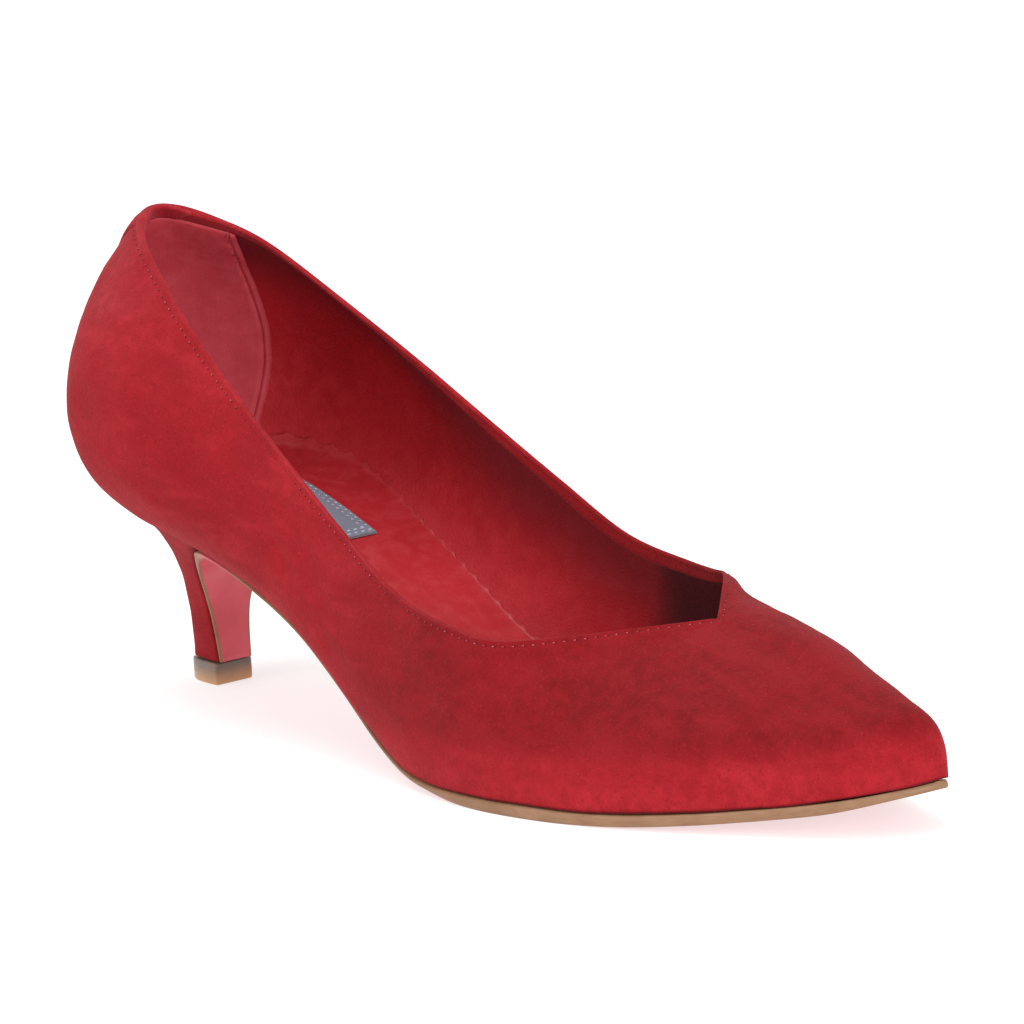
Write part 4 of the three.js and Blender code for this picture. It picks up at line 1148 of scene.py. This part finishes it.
# Stitches along a line: one short thread loop at each pitch, laid along the line and square to the surface
def stitchTree():
    tree = bpy.data.node_groups.new("stitchRow", "GeometryNodeTree")
    sockets = {}
    for socketName, kind, value in (("Geometry", "NodeSocketGeometry", None), ("Pitch", "NodeSocketFloat", 0.0022),
                                ("Stitch Length", "NodeSocketFloat", 0.0017),
                                ("Thread Radius", "NodeSocketFloat", 0.00025),
                                ("Wander", "NodeSocketFloat", 0.07), ("Seed", "NodeSocketInt", 1),
                                ("Thread", "NodeSocketMaterial", None)):
        made = tree.interface.new_socket(socketName, in_out="INPUT", socket_type=kind)
        if value is not None:
            made.default_value = value
        sockets[socketName] = made.identifier
    tree.interface.new_socket("Geometry", in_out="OUTPUT", socket_type="NodeSocketGeometry")
    given = addNode(tree, "NodeGroupInput").outputs
    curve = addNode(tree, "GeometryNodeMeshToCurve", {"Mesh": given["Geometry"]})
    row = addNode(tree, "GeometryNodeResampleCurve", {"Curve": curve.outputs[0], "Length": given["Pitch"]},
                  mode="LENGTH")
    up = addNode(tree, "GeometryNodeInputNamedAttribute", {"Name": "up"}, data_type="FLOAT_VECTOR")
    along = addNode(tree, "GeometryNodeInputTangent")
    wander = addNode(tree, "FunctionNodeRandomValue", {0: (-1, -1, -1), 1: (1, 1, 1), "Seed": given["Seed"]},
                     data_type="FLOAT_VECTOR")
    shift = addNode(tree, "ShaderNodeVectorMath", {0: wander.outputs[0], "Scale": given["Wander"]},
                    operation="SCALE")
    heading = addNode(tree, "ShaderNodeVectorMath", {0: along.outputs[0], 1: shift.outputs[0]}, operation="ADD")
    turned = addNode(tree, "FunctionNodeAxesToRotation", {0: up.outputs[0], 1: heading.outputs[0]},
                     primary_axis="Z", secondary_axis="X")
    loop = addNode(tree, "GeometryNodeMeshUVSphere", {"Segments": 8, "Rings": 6, "Radius": 1.0})
    halfLength = addNode(tree, "ShaderNodeMath", {0: given["Stitch Length"], 1: 0.5}, operation="MULTIPLY")
    size = addNode(tree, "ShaderNodeCombineXYZ", {0: halfLength.outputs[0], 1: given["Thread Radius"],
                                                  2: given["Thread Radius"]})
    shaped = addNode(tree, "GeometryNodeTransform", {"Geometry": loop.outputs[0], "Scale": size.outputs[0]})
    placed = addNode(tree, "GeometryNodeInstanceOnPoints", {"Points": row.outputs[0],
                                                            "Instance": shaped.outputs[0],
                                                            "Rotation": turned.outputs[0]})
    real = addNode(tree, "GeometryNodeRealizeInstances", {0: placed.outputs[0]})
    threaded = addNode(tree, "GeometryNodeSetMaterial", {"Geometry": real.outputs[0],
                                                         "Material": given["Thread"]})
    addNode(tree, "NodeGroupOutput", {0: threaded.outputs[0]})
    return tree, sockets


rowTree, rowSockets = stitchTree()


def stitchRow(name, lines, ups, thread, pitch=2.2, length=1.6, radius=0.22, wander=0.07, seed=1):
    points, edges, ways = [], [], []
    for line, up in zip(lines, ups):
        start = len(points)
        points += toWorld(line).tolist()
        ways += unit(up).tolist()
        edges += [(i, i + 1) for i in range(start, len(points) - 1)]
    mesh = bpy.data.meshes.new(name + "Path")
    mesh.from_pydata(points, edges, [])
    mesh.attributes.new("up", "FLOAT_VECTOR", "POINT").data.foreach_set(
        "vector", np.asarray(ways, np.float32).ravel())
    path = bpy.data.objects.new(name + "Path", mesh)
    bpy.context.scene.collection.objects.link(path)
    rows = path.modifiers.new("stitches", "NODES")
    rows.node_group = rowTree
    for key, value in (("Pitch", pitch / 1000), ("Stitch Length", length / 1000),
                       ("Thread Radius", radius / 1000), ("Wander", wander), ("Seed", seed), ("Thread", thread)):
        rows[rowSockets[key]] = value
    bpy.context.view_layer.update()
    evaluated = path.evaluated_get(bpy.context.evaluated_depsgraph_get())
    made = bpy.data.objects.new(name, bpy.data.meshes.new_from_object(evaluated))
    bpy.data.objects.remove(path)
    bpy.context.scene.collection.objects.link(made)
    made.data.shade_smooth()
    return made


# Sewing thread: spun polyester, two tones so that the twist shows
def sewingThread(name, dark, light):
    material, tree, place = newMaterial(name)
    twist = noiseAt(tree, place, 0.5, detail=1.0)
    colour = blended(tree, ranged(tree, twist, 0.35, 0.65), linear(dark), linear(light))
    finishMaterial(tree, {"Base Color": colour, "Roughness": 0.7, "Specular IOR Level": 0.25,
                          "Sheen Weight": 0.1, "Sheen Tint": linear(light)})
    return material


# Points and outward directions along the topline's stitch row, round the throat's corner too
def toplineRow(distance, inset, lift):
    lines = []
    reach = distance / 0.74
    ahead = np.linspace(0, reach, 6)[1:]
    aheadTurns = turnAtX(last["length"] * last["throatShare"] + ahead)
    for side in (-1.0, 1.0):
        turns = np.concatenate([aheadTurns[::-1], np.linspace(throatTurn, math.pi, 900)])
        turns = np.sort(turns)
        drop = ribDrop(turns, side + 0 * turns, distance)
        v = 1 - drop / ribSpeed(turns, side + 0 * turns, 0 * turns)
        here = upperPoint(turns, side, v, inset)
        below = upperPoint(turns, side, v - 0.01, inset)
        beside = upperPoint(turns - 0.004, side, v, inset)
        up = unit(np.cross(beside - here, here - below)) * side
        lines.append((here, up))
    (leftLine, leftUp), (rightLine, rightUp) = lines
    line = np.concatenate([leftLine[::-1], rightLine[1:]])
    up = np.concatenate([leftUp[::-1], rightUp[1:]])
    up = unit(blur(up, 12))
    if up[len(up) // 4, 1] > 0:
        up = -up
    return line + up * lift, up


print("stitches")
threadRed = sewingThread("spunPolyesterThread", "#9A2630", "#C85A64")
threadPale = sewingThread("spunPolyesterThreadPale", "#9AA0AE", "#C4C8D2")
rowLine, rowUp = toplineRow(upperSettings["stitchInset"], 0.0, -0.14)
toplineStitches = stitchRow("toplineStitches", [rowLine], [rowUp], threadRed, pitch=2.2, length=1.1,
                            radius=0.13, seed=3)
carry(toplineStitches, "suede")
# Suede that the needle pressed in: it takes the light and shows as dark dots between the stitches
darkHole = sewingThread("compressedSuede", "#2E090C", "#3C0D11")
toplineHoles = stitchRow("toplineHoles", [rowLine[6:] + rowUp[6:] * 0.07], [rowUp[6:]], darkHole, pitch=2.2,
                         length=0.42, radius=0.17, wander=0.3, seed=11)
carry(toplineHoles, "suede")

labelLines, labelUps = [], []
for inset in labelSettings["rows"]:
    a, b = inset / labelSettings["length"], inset / labelSettings["width"]
    corners = [(a, b), (1 - a, b), (1 - a, 1 - b), (a, 1 - b), (a, b)]
    for (a0, b0), (a1, b1) in zip(corners[:-1], corners[1:]):
        share = np.linspace(0.01, 0.99, 50)
        line = labelGrid(a0 + (a1 - a0) * share, b0 + (b1 - b0) * share,
                         labelSettings["lift"] + labelSettings["thickness"])
        labelLines.append(line + (0, 0, 0.03))
        labelUps.append(np.tile([0.0, 0.0, 1.0], (50, 1)))
labelStitches = stitchRow("labelStitches", labelLines, labelUps, threadPale, pitch=1.7, length=1.15,
                          radius=0.16, seed=5)
carry(labelStitches, "label_fabric")


def gripRow(inset):
    s = gripSettings
    front = np.array(s["front"])
    down = np.linspace(0.01, 0.99, 120)
    lines, ups = [], []
    for side in (-1.0, 1.0):
        turn = turnAtX(np.interp(down, front[:, 0], front[:, 1]) - inset * 0.85)
        sides = side + 0 * turn
        top = 1 - ribDrop(turn, sides, s["topDrop"]) / ribSpeed(turn, sides, 0 * turn)
        v = top + (s["bottomShare"] - top) * down
        here = upperPoint(turn, side, v, s["gap"] + 0.55)
        deeper = upperPoint(turn, side, v, s["gap"] + 1.2)
        lines.append(here)
        ups.append(unit(deeper - here))
    return lines, ups


gripLines, gripUps = gripRow(gripSettings["beadInset"])
gripThread = sewingThread("spunPolyesterThreadGrip", "#7A1620", "#A8404C")
gripStitches = stitchRow("gripStitches", gripLines, gripUps, gripThread, pitch=2.4, length=1.7,
                         radius=0.2, seed=8)
carry(gripStitches, "lining_leather")

# Floor, light and camera. The picture is a studio shot on white, seen from far off with a long lens.
print("stage")
floorMesh = bpy.data.meshes.new("studioFloor")
floorMesh.from_pydata([(-6, -6, 0), (6, -6, 0), (6, 6, 0), (-6, 6, 0)], [], [(0, 1, 2, 3)])
floor = bpy.data.objects.new("studioFloor", floorMesh)
bpy.context.scene.collection.objects.link(floor)
# Opal glass lit from below: white, dull, and it keeps only the softest shadows
floorMaterial, floorTree, _ = newMaterial("opalGlass")
finishMaterial(floorTree, {"Base Color": linear("#B8B8B8"), "Roughness": 0.9, "Specular IOR Level": 0.1,
                           "Emission Color": (1, 1, 1, 1), "Emission Strength": 0.62})
floorMesh.materials.append(floorMaterial)

world = bpy.data.worlds.new("studio")
bpy.context.scene.world = world
world.use_nodes = True
world.node_tree.nodes["Background"].inputs["Color"].default_value = (1.0, 0.99, 0.98, 1)
world.node_tree.nodes["Background"].inputs["Strength"].default_value = 0.85
bpy.context.scene.view_settings.view_transform = "Standard"


def softLight(name, place, aim, size, watts, colour=(1, 1, 1)):
    lamp = bpy.data.lights.new(name, "AREA")
    lamp.shape, lamp.size, lamp.energy, lamp.color = "DISK", size, watts, colour
    made = bpy.data.objects.new(name, lamp)
    bpy.context.scene.collection.objects.link(made)
    made.location = place
    made.rotation_euler = (Vector(aim) - Vector(place)).to_track_quat("-Z", "Y").to_euler()


softLight("overhead", (-0.25, -0.1, 1.5), (0, 0, 0.03), 1.1, 11)
softLight("side", (-0.3, -1.6, 0.8), (0, 0, 0.04), 0.9, 8)
softLight("toeward", (1.6, -0.35, 0.45), (-0.08, 0, 0.04), 0.7, 15)

cameraSettings = {
    "azimuth": 53.7, "elevation": 13.0, "roll": -3.9,   # degrees, fitted to the shoe's outline in the picture
    "distance": 8.0, "scale": 3.2965, "enlarged": 1.45,  # m, picture points a mm, times
    "aim": (115.0, 0.0, 50.0), "aimOff": (2.88, 1.06),   # mm on the last; then mm to the right and up
}


def placeCamera():
    s = cameraSettings
    a, e, r = (math.radians(s[key]) for key in ("azimuth", "elevation", "roll"))
    back = Vector((math.sin(a) * math.cos(e), -math.cos(a) * math.cos(e), math.sin(e)))
    right = (-back).cross(Vector((0, 0, 1))).normalized()
    up = right.cross(-back)
    rightOf = right * math.cos(r) + up * math.sin(r)
    upOf = up * math.cos(r) - right * math.sin(r)
    aim = Vector(toWorld(s["aim"])) + (rightOf * s["aimOff"][0] + upOf * s["aimOff"][1]) / 1000
    lens = bpy.data.cameras.new("longLens")
    lens.sensor_width = 36
    lens.lens = s["distance"] * 1000 * s["scale"] * s["enlarged"] * lens.sensor_width / 1024
    lens.clip_end = 50
    camera = bpy.data.objects.new("longLens", lens)
    bpy.context.scene.collection.objects.link(camera)
    turn = Matrix((rightOf, upOf, back)).transposed()
    camera.matrix_world = Matrix.Translation(aim + back * s["distance"]) @ turn.to_4x4()
    bpy.context.scene.camera = camera


placeCamera()
